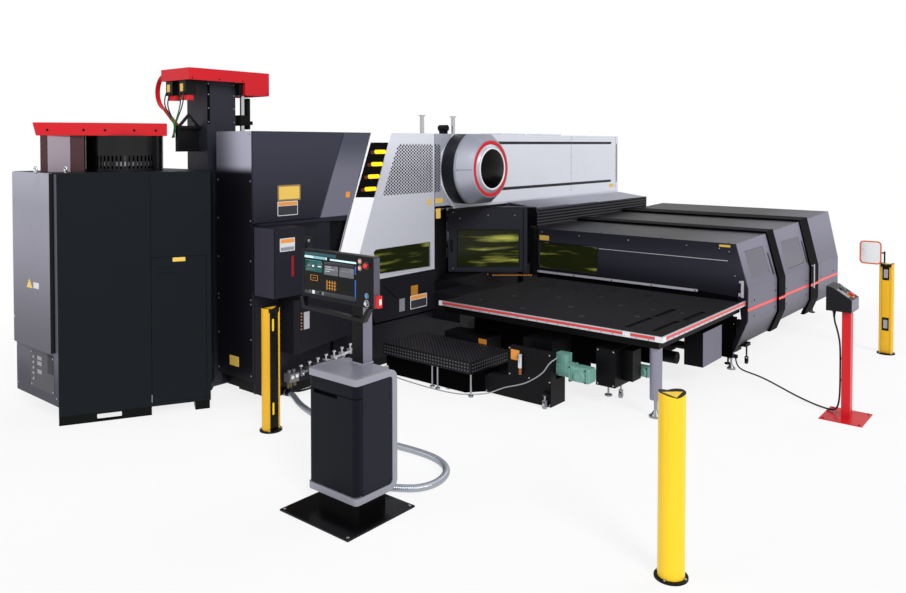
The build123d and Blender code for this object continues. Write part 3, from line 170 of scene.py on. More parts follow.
@dataclass(frozen=True)
class Finish:
    """One finish of the machine, from its colour to its grain in mm."""

    name: str
    colour: str
    slot: str
    roughness: float = 0.45
    metallic: float = 0.0
    surface: Surface = PEEL
    grain: float = 6.0
    relief: float = 0.12
    tone: float = 0.06
    coat: float = 0.0
    gloss: float = 0.35
    glow: float = 0.0
    zones: tuple[Zone, ...] = ()
    spread: float = 0.06  # how far the roughness wanders either way
    depth: float = 0.12  # height of the grain as a share of its width

    def material(self) -> bpy.types.Material:
        """Build the finish once: broad tone, fine roughness, zones and a bump of its grain.

        Returns:
            The material.
        """
        known = bpy.data.materials.get(self.name)
        if known is not None:
            return known
        made = bpy.data.materials.new(self.name)
        made.use_nodes = True
        tree = made.node_tree
        tree.nodes.clear()
        place = add_node(tree, "TexCoord").outputs["Object"]
        base = np.array(linear(self.colour)[:3])
        dark, light = base * (1 - self.tone), np.minimum(base * (1 + self.tone), 1.0)
        broad = add_node(tree, "TexNoise", {"Vector": place, "Scale": 1.7, "Detail": 3.0})
        fine = add_node(tree, "TexNoise", {"Vector": self.grain_place(tree, place), "Scale": 1000 / self.grain,
                                           "Detail": 2.0})
        looks = {"Coat Weight": self.coat, "Coat Roughness": 0.12, "Specular IOR Level": self.gloss}
        colour = add_node(tree, "Mix", {0: broad, 6: (*dark, 1.0), 7: (*light, 1.0)}, data_type="RGBA").outputs[2]
        if self.surface is FILTER_GLASS:
            colour, looks["Emission Color"], looks["Emission Strength"] = self.painted_inside_light(tree, place)
        rough = add_node(tree, "MapRange", {0: fine, 3: max(self.roughness - self.spread, 0.02),
                                            4: self.roughness + self.spread})
        metal = self.metallic
        for zone in self.zones:
            mask = zone.mask(tree, place)
            colour = add_node(tree, "Mix", {0: mask, 6: colour, 7: linear(zone.colour)}, data_type="RGBA").outputs[2]
            rough = add_node(tree, "Mix", {0: mask, 2: rough, 3: zone.roughness}, data_type="FLOAT")
            if zone.metallic != self.metallic:
                metal = add_node(tree, "Mix", {0: mask, 2: metal, 3: zone.metallic}, data_type="FLOAT")
        if self.glow:
            looks |= {"Emission Color": linear(self.colour), "Emission Strength": self.glow}
        if self.surface is not SMOOTH and self.relief:
            looks["Normal"] = add_node(tree, "Bump", {"Height": fine, "Strength": self.relief,
                                                      "Distance": self.grain * self.depth * MM})
        looks |= {"Base Color": colour, "Roughness": rough, "Metallic": metal}
        add_node(tree, "OutputMaterial", {0: add_node(tree, "BsdfPrincipled", looks)})
        return made

    def grain_place(self, tree: bpy.types.NodeTree, place: bpy.types.NodeSocket) -> bpy.types.NodeSocket:
        """Stretch the grain along Z for brushed metal, and leave it as it is for the rest.

        Args:
            tree: node tree.
            place: socket with the point in the part's frame.

        Returns:
            Socket with the grain's place.
        """
        if self.surface is not BRUSHED:
            return place
        return add_node(tree, "Mapping", {"Vector": place, "Scale": (1.0, 1.0, 0.04)}).outputs[0]

    def painted_inside_light(self, tree: bpy.types.NodeTree, place: bpy.types.NodeSocket) -> tuple:
        """Paint light into the filter glass: level streaks of painted light, standing for the lit inside seen through
        deep green.

        Only the panes towards the frame glow, up to LIT_TO.

        Args:
            tree: node tree.
            place: socket with the point in the part's frame.

        Returns:
            Sockets with its colour, the colour of its glow and the glow's strength.
        """
        level = add_node(tree, "Mapping", {"Vector": place, "Scale": (0.8, 0.8, 7.0), "Rotation": (0.16, 0.1, 0.0)})
        streak = add_node(tree, "TexNoise", {"Vector": level, "Scale": 2.1, "Detail": 3.0, "Roughness": 0.45})
        patch = add_node(tree, "TexNoise", {"Vector": place, "Scale": 1.15, "Detail": 1.0})
        both = add_node(tree, "Math", {0: patch, 1: 0.4, 2: streak}, operation="MULTIPLY_ADD")
        lit = add_node(tree, "MapRange", {0: both, 1: 0.68, 2: 1.08}, interpolation_type="SMOOTHSTEP")
        point = add_node(tree, "SeparateXYZ", {0: place}).outputs
        inner = add_node(tree, "Math", {0: point[X], 1: LIT_TO * MM}, operation="LESS_THAN")
        power = add_node(tree, "Math", {0: inner, 1: 0.6}, operation="MULTIPLY")
        pairs = (("#10140a", "#5a6224"), ("#1b1f08", "#dfe06a"))
        glass, glow = (add_node(tree, "Mix", {0: lit, 6: linear(a), 7: linear(b)}, data_type="RGBA").outputs[2]
                       for a, b in pairs)
        return glass, glow, power


@dataclass
class Shape:
    """Closed surface: points in mm, four-sided faces and end faces of any size."""

    points: np.ndarray
    quads: np.ndarray
    ends: np.ndarray

    def volume(self) -> float:
        """Signed volume: a sixth of the sum of a . (b x c) over the triangles.

        Returns:
            Cubic millimetres.
        """
        fans = [self.quads[:, [0, 1, 2]], self.quads[:, [0, 2, 3]]]
        if len(self.ends):
            count = self.ends.shape[1]
            inner = np.stack([self.ends[:, 1:count - 1], self.ends[:, 2:]], -1)
            first = np.repeat(self.ends[:, :1], count - 2, axis=1)[..., None]
            fans.append(np.concatenate([first, inner], -1).reshape(-1, 3))
        corners = self.points[np.concatenate(fans)]
        return float(np.einsum("ij,ij->", corners[:, 0], np.cross(corners[:, 1], corners[:, 2])) / 6)

    def faces(self) -> list[list[int]]:
        """Faces in the order that points them outwards."""
        turn = 1 if self.volume() >= 0 else -1
        return self.quads[:, ::turn].tolist() + self.ends[:, ::turn].tolist()


def loft(rings: np.ndarray, wrap: bool = False) -> Shape:
    """Skin over rings of points: ring i, point j joins ring i + 1 and point j + 1.

    Args:
        rings: rings x points x 3, in mm.
        wrap: whether the last ring joins the first, as round a frame.

    Returns:
        The closed shape, with flat ends unless it wraps.
    """
    count, size = rings.shape[:2]
    i, j = np.meshgrid(np.arange(count if wrap else count - 1), np.arange(size), indexing="ij")
    after, beside = (i + 1) % count, (j + 1) % size
    quads = np.stack([i * size + j, i * size + beside, after * size + beside, after * size + j], -1)
    last = (count - 1) * size + np.arange(size)
    ends = np.zeros((0, size), int) if wrap else np.stack([np.arange(size)[::-1], last])
    return Shape(rings.reshape(-1, 3), quads.reshape(-1, 4), ends)


def repeat(shape: Shape, places: np.ndarray) -> Shape:
    """Copy a shape, drawn at the origin, to many places by adding each place to its points.

    Args:
        shape: the shape, in mm.
        places: places x 3, in mm.

    Returns:
        All the copies in one shape.
    """
    places = np.asarray(places, float)
    shift = (np.arange(len(places)) * len(shape.points))[:, None, None]
    points = (places[:, None, :] + shape.points[None]).reshape(-1, 3)
    quads = (shape.quads[None] + shift).reshape(-1, 4)
    ends = (shape.ends[None] + shift).reshape(-1, shape.ends.shape[1]) if len(shape.ends) else shape.ends
    return Shape(points, quads, ends)


def piece(name: str, shape: Shape, finish: Finish, body: str = "machine", sharp: float = 32.0) -> bpy.types.Object:
    """Put a shape into the scene as a piece that rides on a body.

    Args:
        name: name of the piece.
        shape: its closed surface, in mm.
        finish: what it is finished with.
        body: the body that it moves with.
        sharp: edges that turn by more than this many degrees stay crisp.

    Returns:
        The object.
    """
    mesh = bpy.data.meshes.new(name)
    mesh.from_pydata(to_metres(shape.points).tolist(), [], shape.faces())
    mesh.polygons.foreach_set("use_smooth", np.ones(len(mesh.polygons), bool))
    mesh.set_sharp_from_angle(angle=math.radians(sharp))
    mesh.materials.append(finish.material())
    made = bpy.data.objects.new(name, mesh)
    bpy.context.collection.objects.link(made)
    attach(made, body)
    LOG.info("%s: %d faces on %s", name, len(mesh.polygons), body)
    return made


@dataclass(frozen=True)
class Seat:
    """Place that a piece is drawn on: an origin in mm and the directions along, up and out of it."""

    origin: Triple
    along: Triple
    up: Triple

    def put(self, points: np.ndarray) -> np.ndarray:
        """Turn (along, up, out) into the part's frame: origin + a along + b up + c (along x up)."""
        out = np.cross(self.along, self.up)
        return np.array(self.origin) + np.asarray(points, float) @ np.array([self.along, self.up, out])


def side_at(x: float) -> Seat:
    """Seat on a face that looks to +X, with y along and z up."""
    return Seat((x, 0, 0), (0, 1, 0), (0, 0, 1))


def front_at(y: float) -> Seat:
    """Seat on a face that looks to -Y, with x along and z up."""
    return Seat((0, y, 0), (1, 0, 0), (0, 0, 1))


def rear_at(y: float) -> Seat:
    """Seat on a face that looks to +Y, with -x along and z up."""
    return Seat((0, y, 0), (-1, 0, 0), (0, 0, 1))


def left_at(x: float) -> Seat:
    """Seat on a face that looks to -X, with -y along and z up."""
    return Seat((x, 0, 0), (0, -1, 0), (0, 0, 1))


def top_at(z: float) -> Seat:
    """Seat on a face that looks up, with x along and y up the page."""
    return Seat((0, 0, z), (1, 0, 0), (0, 1, 0))


def grid(alongs: tuple, ups: tuple) -> list[Pair]:
    """Spots at each of the first places and each of the second."""
    return [(a, b) for a in alongs for b in ups]


def circle(a: float, b: float, radius: float, sides: int = 28) -> np.ndarray:
    """Points round a circle: the centre + radius (cos t, sin t)."""
    angle = np.linspace(0, 2 * math.pi, sides, endpoint=False)
    return np.column_stack([a + radius * np.cos(angle), b + radius * np.sin(angle)])


def rounded(a0: float, a1: float, b0: float, b1: float, radius: float, steps: int = 4) -> np.ndarray:
    """Outline of a rectangle whose corners are quarter circles.

    Args:
        a0, a1, b0, b1: its sides.
        radius: corner radius.
        steps: points on each corner.

    Returns:
        Points x 2, anticlockwise.
    """
    radius = min(radius, (a1 - a0) / 2 - 0.01, (b1 - b0) / 2 - 0.01)
    turn = np.linspace(0, math.pi / 2, steps)
    arc = np.stack([np.cos(turn), np.sin(turn)], -1) * radius
    spin = [np.array(rows) for rows in (((1, 0), (0, 1)), ((0, 1), (-1, 0)), ((-1, 0), (0, -1)), ((0, -1), (1, 0)))]
    centres = [(a1 - radius, b1 - radius), (a0 + radius, b1 - radius), (a0 + radius, b0 + radius),
               (a1 - radius, b0 + radius)]
    return np.concatenate([np.array(c) + arc @ m for c, m in zip(centres, spin)])


def ringed(seat: Seat, levels: list[tuple[np.ndarray, float]], wrap: bool = False) -> Shape:
    """Skin over outlines that are laid on a seat, each at its own height or heights."""
    rings = [np.column_stack([line, np.broadcast_to(height, len(line))]) for line, height in levels]
    return loft(seat.put(np.stack(rings)), wrap)


def plate(seat: Seat, outline: np.ndarray, thick: float, bevel: float = 1.0, lift: float = 0.0) -> Shape:
    """Plate over an outline: its edge goes up by the thickness less the bevel, then in by the bevel.

    Args:
        seat: what it lies on.
        outline: points x 2 on the seat.
        thick: thickness.
        bevel: size of the bevel.
        lift: height of its underside over the seat.

    Returns:
        The closed shape.
    """
    outline = np.asarray(outline, float)
    middle = outline.mean(0)
    reach = np.linalg.norm(outline - middle, axis=1, keepdims=True)
    inner = outline - (outline - middle) / np.maximum(reach, 1e-6) * bevel
    return ringed(seat, [(outline, lift), (outline, lift + thick - bevel), (inner, lift + thick)])


def slab(seat: Seat, a0: float, a1: float, b0: float, b1: float, thick: float, radius: float = 2.0,
         bevel: float = 1.0, lift: float = 0.0) -> Shape:
    """Plate over a rounded rectangle."""
    return plate(seat, rounded(a0, a1, b0, b1, radius), thick, bevel, lift)


def surround(seat: Seat, outer: np.ndarray, inner: np.ndarray, thick: float, lift: float = 0.0) -> Shape:
    """Frame between two outlines of equally many points, taken round its section of four corners."""
    return ringed(seat, [(inner, lift), (outer, lift), (outer, lift + thick), (inner, lift + thick)], True)


def turned(seat: Seat, a: float, b: float, profile: list[Pair], sides: int = 24, wrap: bool = False) -> Shape:
    """Turned piece: at angle t and height h its point is (a + r cos t, b + r sin t, h).

    Args:
        seat: the face that it stands on.
        a, b: its axis on that face.
        profile: (radius, height) pairs from its foot to its top, or round a ring's section.
        sides: points round it.
        wrap: whether it is a ring.

    Returns:
        The closed shape.
    """
    return ringed(seat, [(circle(a, b, radius, sides), height) for radius, height in profile], wrap)


def studs(seat: Seat, spots: Spots, radius: float, height: float, sides: int = 8) -> Shape:
    """Many low domes, such as screw heads: a quarter wave from the foot to the flat top.

    Args:
        seat: what they stand on.
        spots: their places on the seat.
        radius: radius of each foot.
        height: how far each stands out.
        sides: points round each.

    Returns:
        All the domes in one shape.
    """
    profile = [(radius, -0.5), (radius, height * 0.45), (radius * 0.82, height * 0.85), (radius * 0.45, height)]
    spots = np.asarray(spots, float)
    places = seat.put(np.column_stack([spots, np.zeros(len(spots))]))
    return repeat(turned(Seat((0, 0, 0), seat.along, seat.up), 0, 0, profile, sides), places)


def lay(seat: Seat, *rows: tuple, body: str = "machine") -> None:
    """Lay rounded plates on a seat: each row has a name, a finish and the sizes that slab takes."""
    for name, finish, *sizes in rows:
        piece(name, slab(seat, *sizes), finish, body)


def fasten(seat: Seat, *rows: tuple, body: str = "machine") -> None:
    """Set screw heads on a seat: each row has a name, a finish, the spots and the sizes that studs takes."""
    for name, finish, spots, *sizes in rows:
        piece(name, studs(seat, spots, *sizes), finish, body)


def line_up(seat: Seat, name: str, finish: Finish, sizes: tuple, places: np.ndarray, body: str = "machine") -> None:
    """Repeat one rounded plate at many places, with its sizes as slab takes them."""
    flat = Seat((0, 0, 0), seat.along, seat.up)
    piece(name, repeat(slab(flat, *sizes), places), finish, body)


def lattice(a0: float, a1: float, b0: float, b1: float, pitch_a: float, pitch_b: float) -> np.ndarray:
    """Staggered grid of spots: every other row is moved by half a pitch.

    Args:
        a0, a1, b0, b1: the field's sides.
        pitch_a, pitch_b: distances in a row and between rows.

    Returns:
        Spots x 2.
    """
    rows = np.arange(b0, b1 + 0.1, pitch_b)
    a, b = np.meshgrid(np.arange(a0, a1 + 0.1, pitch_a), rows)
    a = a + (np.arange(len(rows)) % 2)[:, None] * pitch_a / 2
    spots = np.column_stack([a.ravel(), b.ravel()])
    return spots[spots[:, 0] <= a1]


def tube(path: np.ndarray, radius: np.ndarray, sides: int = 16) -> Shape:
    """Round skin along a path: each ring is r (cos t side + sin t over) about its point.

    The side is the path's way crossed with the axis that the path never runs along.

    Args:
        path: points x 3, in mm.
        radius: one radius for each point.
        sides: points round it.

    Returns:
        The closed shape.
    """
    path, radius = np.asarray(path, float), np.asarray(radius, float)
    way = np.gradient(path, axis=0)
    way /= np.linalg.norm(way, axis=1, keepdims=True)
    side = np.cross(way, np.eye(3)[np.argmin(np.abs(way).max(axis=0))])
    side /= np.linalg.norm(side, axis=1, keepdims=True)
    over = np.cross(way, side)
    angle = np.linspace(0, 2 * math.pi, sides, endpoint=False)
    return loft(path[:, None] + radius[:, None, None] * (
        np.cos(angle)[None, :, None] * side[:, None] + np.sin(angle)[None, :, None] * over[:, None]))


def dress(node: str, finish: Finish) -> None:
    """Give a node of the part its finish.

    Args:
        node: name of the node.
        finish: what it is finished with.
    """
    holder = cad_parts[node]
    if not holder.material_slots:
        holder.data.materials.append(finish.material())
    for place in holder.material_slots:
        place.material = finish.material()


# Powder coat on sheet steel: a soft sheen, broken up by a faint orange peel.
BLACK = Finish("black_powder_coat", "#0b0b0e", "frame_black", 0.5, gloss=0.15)
DARK = Finish("charcoal_powder_coat", "#26262f", "dark_panel", 0.42, gloss=0.14)
YELLOW = Finish("traffic_yellow_powder_coat", "#ffd01c", "yellow_paint", 0.38, coat=0.1, grain=5, tone=0.03)
# A darker copy of the traffic yellow: painted shade for the posts that stand out of the light.
SHADED_YELLOW = Finish("shaded_yellow_powder_coat", "#e9b212", "yellow_paint", 0.4, coat=0.1, grain=5, tone=0.03)
LEVER_BLACK = Finish("lever_black", "#09090b", "frame_black", 0.3)
DRUM_DARK = Finish("drum_band_coat", "#191c21", "dark_panel", 0.34, gloss=0.25)
PLEATS = Finish("pleat_coat", "#16161b", "dark_panel", 0.34, gloss=0.25)
# Near-black without sheen: the dark sheets under the table, made darker still as painted shade for the deep shade
# there.
APRON_AND_SHADE = Finish("apron_and_painted_shade", "#030304", "frame_black", 0.7, gloss=0.02)
TREAD = Finish("tread_dots", "#3a3a40", "frame_black", 0.4, gloss=0.4)
STEP_HOLES = Finish("step_holes", "#5a5b62", "frame_black", 0.35, 0.4)
# Sprayed enamel: smoother than powder coat, with a clearer highlight; the silver has fine metal flake.
SILVER = Finish("silver_metallic_enamel", "#cfd0d8", "silver_paint", 0.36, 0.15, grain=3, relief=0.06, tone=0.03)
RED = Finish("signal_red_enamel", "#d01c26", "red_paint", 0.34, coat=0.1, grain=4, relief=0.05, gloss=0.2)
GREEN = Finish("machine_green_enamel", "#6f9f92", "motor_green", 0.4, grain=5, relief=0.2)
GREEN_BOLTS = Finish("dark_bolts", "#10201c", "motor_green", 0.4)
LILAC = Finish("lilac_case_enamel", "#9c8f99", "panel_grey", 0.34, gloss=0.4)
MAROON = Finish("maroon_case_strip", "#41191f", "red_paint", 0.3, gloss=0.5)
FOLD = Finish("bright_fold", "#d4d4dc", "silver_paint", 0.3, 0.3)
INNER_RING = Finish("drum_inner_enamel", "#b9b9c4", "silver_paint", 0.32, 0.2)
CONSOLE_GREY = Finish("console_top_grey", "#8b8b97", "silver_paint", 0.34, 0.2)
# The drum cap's silver enamel, with painted shade that darkens it towards its top and towards its bottom.
DRUM_SILVER = Finish(
    "drum_cap_enamel", "#b4b6c2", "silver_paint", 0.34, 0.15, grain=3, relief=0.06, tone=0.03,
    zones=(Zone("#8d8f9d", 0.34, 0.15, z0=1700, z1=2700, fade=(Z, 2260, 2590)),
           Zone("#7f8190", 0.34, 0.15, z0=1700, z1=2700, fade=(Z, 2100, 1790))))
# Steel: zinc plate is pale and bright, blackened steel dull, hard chrome a mirror, bare steel brushed.
SCREW = Finish("zinc_plated_steel", "#a8a9ad", "machined_steel", 0.3, 0.9, SMOOTH)
DARK_SCREW = Finish("blackened_steel", "#08080a", "frame_black", 0.4, 0.6, SMOOTH)
CHROME = Finish("hard_chrome", "#d8dade", "knob_steel", 0.12, 1.0, SMOOTH, tone=0.02)
STEEL = Finish("machined_steel_parts", "#9c9da2", "machined_steel", 0.35, 0.9, BRUSHED, 3)
HOSE_STEEL = Finish("corrugated_steel_hose", "#a3a8b1", "hose_grey", 0.3, 0.75, SMOOTH)
# Extruded aluminium: brushed along its length, so its light is drawn out; its end caps are painted.
EDGING = Finish("edge_profile", "#cfcfd6", "trim_aluminium", 0.3, 0.5, BRUSHED, 3)
COVER_EDGE = Finish("travel_cover_edge", "#5d5d68", "trim_aluminium", 0.35, 0.2)
CORNERS = Finish("corner_mouldings", "#e8e8ec", "trim_aluminium", 0.4, relief=0.0)
# Anodised plates with nothing on them: flat and even.
PLATE_YELLOW = Finish("yellow_anodised_plate", "#e9c25a", "yellow_paint", 0.4, relief=0.0)
PLATE_ORANGE = Finish("orange_plate", "#e8953a", "yellow_paint", 0.4, relief=0.0)
PLATE_WHITE = Finish("white_plate", "#d6d6d8", "silver_paint", 0.4, relief=0.0)
PLATE_GREY = Finish("grey_plate", "#8d8d94", "silver_paint", 0.4, relief=0.0)
PLATE_DARK = Finish("dark_plate", "#303036", "dark_panel", 0.4, relief=0.0)
BRONZE = Finish("bronze_rim", "#8a7448", "yellow_paint", 0.4)
HOLDER = Finish("holder_white", "#e4e4e4", "silver_paint", 0.4, relief=0.0)
# Joints and slots: next to no sheen, so they read as depth.
GAP = Finish("shadow_gap", "#050507", "frame_black", 0.8, surface=SMOOTH, gloss=0.05)
DRUM_JOINT = Finish("drum_joint", "#4a4a52", "dark_panel", 0.5)
ARM_JOINT = Finish("arm_joint", "#6e6e78", "silver_paint", 0.5)
ARM_SLOT = Finish("arm_slot", "#15151a", "frame_black", 0.6)
SLOT_BLACK = Finish("slot_black", "#08080a", "frame_black", 0.5)
# Rubber, nylon bristle and moulded plastic: dull where it is soft, an even gloss where it is hard.
GASKET = Finish("window_gasket", "#0b0b0d", "frame_black", 0.5)
RUBBER = Finish("black_cable_sheath", "#0c0c0e", "cable_black", 0.45, surface=SMOOTH)
GREY_SHEATH = Finish("grey_cable_sheath", "#9c9da3", "cable_grey", 0.4, surface=SMOOTH)
CURTAIN = Finish("curtain_bristle", "#08080a", "brush_black", 0.7, 0, BRISTLE, 6, 0.4, gloss=0.06)
TUFTS = Finish("brush_tufts", "#17171b", "brush_black", 0.5, surface=BRISTLE, grain=5, gloss=0.12)
BALL_CUPS = Finish("ball_cups", "#050506", "frame_black", 0.35)
BAND = Finish("edge_band_red", "#e0403c", "red_paint", 0.38, coat=0.2)
# The red stripe glows a little although it is no lamp: painted light that keeps its red bright.
STRIPE = Finish("stripe_red_with_painted_glow", "#e8433f", "red_paint", 0.35, glow=0.15)
KNOBS = Finish("valve_knobs", "#c9cacd", "machined_steel", 0.3, 0.6)
DIAL = Finish("dial_face", "#e6e6e2", "silver_paint", 0.3, relief=0.0)
BEZEL = Finish("screen_bezel", "#0a0a0e", "screen_black", 0.25, gloss=0.15, relief=0.0)
MIRROR_RIM = Finish("mirror_rim", "#e0632c", "red_paint", 0.4)
STOP_RED = Finish("stop_red", "#d8251c", "button_red", 0.3, surface=SMOOTH, coat=0.3)
MUSHROOM_RED = Finish("mushroom_red", "#c8261e", "button_red", 0.3, surface=SMOOTH, coat=0.3)
BUTTON_GREEN = Finish("green_button", "#17806a", "button_green", 0.3, surface=SMOOTH, coat=0.2)
# Glass, acrylic and lamps: clear and glossy, and the lamps glow a little by themselves.
# The filter glass glows with painted light where the lit inside shows through it.
FILTER = Finish("laser_filter_glass", "#2a3010", "tinted_pane", 0.12, surface=FILTER_GLASS, relief=0.0, gloss=0.12,
                zones=(Zone("#77757e", 0.4, x0=3300, x1=3600, y0=1500, z0=600),))
GREY_PANE = Finish("grey_tinted_acrylic", "#62616b", "panel_grey", 0.3, surface=SMOOTH, gloss=0.25)
BEAM_WINDOW = Finish("curtain_window", "#050506", "screen_black", 0.2, surface=SMOOTH, gloss=0.15)
GLIMPSE = Finish("window_glimpse", "#9a9aa2", "screen_black", 0.25, surface=SMOOTH)
# The mirror pane is matt grey with no reflection of its own: a painted reflection of what the mirror shows.
MIRROR_PANE = Finish("mirror_pane", "#a3a2a8", "mirror_pane", 0.7, 0.0, SMOOTH, tone=0.03, gloss=0.1)
DISC = Finish("drum_centre_gloss", "#020203", "screen_black", 0.16, surface=SMOOTH, gloss=0.1)
BRIGHT_RING = Finish("drum_bright_ring", "#f2f2f6", "silver_paint", 0.25, surface=SMOOTH)
OIL = Finish("amber_oil", "#8a4a20", "lamp_amber", 0.15, surface=SMOOTH, gloss=0.6)
LAMP_BLACK = Finish("lamp_black", "#020203", "frame_black", 0.4, gloss=0.06)
AMBER = Finish("amber_lamp", "#ffc90a", "lamp_amber", 0.3, surface=SMOOTH, glow=0.75)
EMBER = Finish("ember_lamp", "#511808", "lamp_amber", 0.4, surface=SMOOTH, glow=0.15)
PEACH = Finish("peach_lens", "#e8a58c", "button_red", 0.25, surface=SMOOTH, glow=0.15)
BLUE = Finish("blue_lens", "#2f8fd0", "button_blue", 0.25, surface=SMOOTH, glow=0.15)


@dataclass
class Paintwork:
    """Finishes of the nodes that are shown as they are: coats and enamels as above, each in the node's own tints, with
    painted light and shade on many panels.

    A zone paints a part of a node that has another finish, or painted light and shade, and a fade is painted light:
    the light running off over a panel.
    """

    seam: float = -1470.0

    def frame_side(self) -> dict[str, Finish]:
        """Finishes of the C-frame, the arm, the magazine and the lift."""
        slanted = {"x0": 269, "x1": 301, "y0": self.seam, "y1": -1060, "z0": 1737, "z1": 2700, "leans": True}
        end = {"x0": -310, "x1": 271, "y0": -2640, "y1": -2632, "z0": 0, "z1": 2640}
        cover = {"z0": 900, "z1": 2700}
        arm_line = {"x0": 290, "x1": 293, "y0": 1089, "y1": 4421}
        case = {"x1": -550, "y0": -4084, "y1": -4082.4, "z0": 0}
        cabinet = Finish(
            "magazine_coat", "#12171b", "magazine_dark", 0.46, grain=7, relief=0.2, gloss=0.09,
            zones=(Zone("#62606c", 0.4, z1=2230, **case),
                   # Painted shade: the case's face darkens towards the bottom.
                   Zone("#403e49", 0.42, z1=900, fade=(Z, 700, 300), **case),
                   Zone("#2c2b33", 0.4, x0=-780, x1=-650, y0=-4100, y1=-4082, z0=430, z1=610),
                   Zone("#c9cbd0", 0.2, 1.0, z0=2241),
                   Zone("#08090a", 0.5, z0=-5, z1=82)))
        return {
            "machine_frame": Finish(
                "frame_black_coat", "#08080b", "frame_black", 0.5, gloss=0.12,
                zones=(Zone("#d8dade", 0.14, 1.0, y1=200, z0=2621),
                       Zone("#d8dade", 0.14, 1.0, y0=330, z0=2621),
                       Zone("#8a8d94", 0.35, 0.8, x0=320, x1=340, z0=0, z1=90))),
            "frame_panels": Finish(
                "frame_panel_coat", "#1c1c25", "dark_panel", 0.36, gloss=0.15,
                # Painted light: the side panels lighten towards the top.
                zones=(Zone("#383846", 0.38, z0=0, z1=2700, fade=(Z, 1500, 2560)),
                       Zone("#4a4b58", 0.34, **slanted),
                       # Painted light on the slanted panel: lighter from its top downwards.
                       Zone("#6e6e7c", 0.34, fade=(Z, 2560, 2150), **slanted),
                       # End panel: painted light lightens it towards +X, and painted shade darkens it below about
                       # 2205.
                       Zone("#5f5e6a", 0.42, **end),
                       Zone("#b2b1c2", 0.42, fade=(X, -290, 150), **end),
                       Zone("#101016", 0.42, fade=(Z, 2300, 2205), **end),
                       Zone("#3a3844", 0.42, x0=305, x1=620, y0=-2640, y1=-2629, z0=1050, z1=1710))),
            "silver_cover": Finish(
                "silver_cover_enamel", "#c6c7d0", "silver_paint", 0.36, 0.1, grain=3, relief=0.06, tone=0.03,
                # Painted light: the cover's front part lightens towards the top.
                zones=(Zone("#dfe1ea", 0.34, 0.1, y1=3, fade=(Z, 2050, 2560), **cover),
                       Zone("#fdfdff", 0.32, 0.0, x0=260, x1=310, y0=-1110, y1=-748, leans=True, **cover),
                       Zone("#08080a", 0.5, x0=280, x1=289.5, **cover),
                       Zone("#a6a8b4", 0.36, 0.1, y0=3, **cover))),
            "beam_cover": Finish(
                "upper_arm_enamel", "#e2e4ec", "silver_paint", 0.36, 0.1, grain=3, relief=0.06, tone=0.03,
                zones=(Zone("#1c1c22", 0.5, z0=2485, z1=2530, **arm_line),
                       Zone("#1c1c22", 0.5, z0=1870, z1=1914, **arm_line),
                       Zone("#0c0c0e", 0.6, x0=238, x1=266, y0=4600, y1=4643, z0=1878, z1=2482))),
            "access_door": Finish(
                "access_door_coat", "#1b1b24", "dark_panel", 0.4, gloss=0.15,
                zones=(Zone("#8c1f28", 0.4, x0=600, x1=608.5, y0=-2438, y1=-2395, z0=1239, z1=1441),)),
            "left_cover": DARK,
            "lower_covers": Finish(
                "lower_cover_coat", "#16161c", "frame_black", 0.42, gloss=0.15,
                zones=(Zone("#b9b9c2", 0.35, 0.3, x0=540.4, x1=545, y0=-2230, y1=-2159, z0=680, z1=860),
                       Zone("#c08a58", 0.35, 0.6, x0=541, x1=549, y0=-2275, y1=-2250, z0=650, z1=900),
                       Zone("#b27a2c", 0.4, x0=300.4, x1=309, y0=-440, y1=-300, z0=714, z1=840),
                       Zone("#85858c", 0.4, x0=300.4, x1=309, y0=-641, y1=-530, z0=560, z1=713))),
            "air_unit": Finish(
                "air_unit_castings", "#77777c", "machined_steel", 0.42, 0.55, PEEL, 3, 0.2, 0.2,
                zones=(Zone("#5c5236", 0.2, x0=300, x1=430, y0=-2300, y1=-2170, z0=80, z1=153),
                       Zone("#c9c9cc", 0.35, 0.4, x0=300, x1=430, y0=-2170, y1=-1400, z0=270))),
            "magazine_cabinet": cabinet, "magazine_door": cabinet, "magazine_rim": RED,
            "electric_door": Finish(
                "electric_door_coat", "#8e8c9a", "panel_grey", 0.4, gloss=0.25,
                # Painted shade darkens the door towards the bottom, and painted light lightens it towards the top.
                zones=(Zone("#4d4b57", 0.42, z0=0, fade=(Z, 1900, 560)),
                       Zone("#a3a2b0", 0.4, z0=0, fade=(Z, 1900, 2260)),
                       Zone("#0c0c10", 0.4, x0=-607, x1=-600, z0=0))),
            "magazine_hood": Finish("gloss_black_hood", "#060609", "frame_black", 0.26, coat=0.12, gloss=0.3),
            "lift_column": Finish(
                "wrinkle_coated_column", "#2a2b35", "dark_panel", 0.45, 0, WRINKLE, 14, 0.6, 0.2, gloss=0.25,
                zones=(Zone("#d8dade", 0.12, 1.0, y0=-2190, y1=-2100, z0=905, z1=3145),
                       Zone("#0b0b0e", 0.45, x0=-700, x1=-600, y1=-2600.5, z0=2400, z1=2850))),
            "lift_hood": RED, "tool_shuttle": BLACK,
            "hood_motors": Finish(
                "servo_motor_coat", "#08080a", "frame_black", 0.4, gloss=0.2,
                zones=(Zone("#cf2730", 0.35, x0=-870, x1=-490, y0=-2850.5, y1=-2725, z0=2934, z1=2984.8),
                       Zone("#2d7a3e", 0.5, x0=-700, x1=-560, y1=-2851, z0=2400, z1=2960))),
            "turret": STEEL, "punch_ram": STEEL, "tool_drum": STEEL}

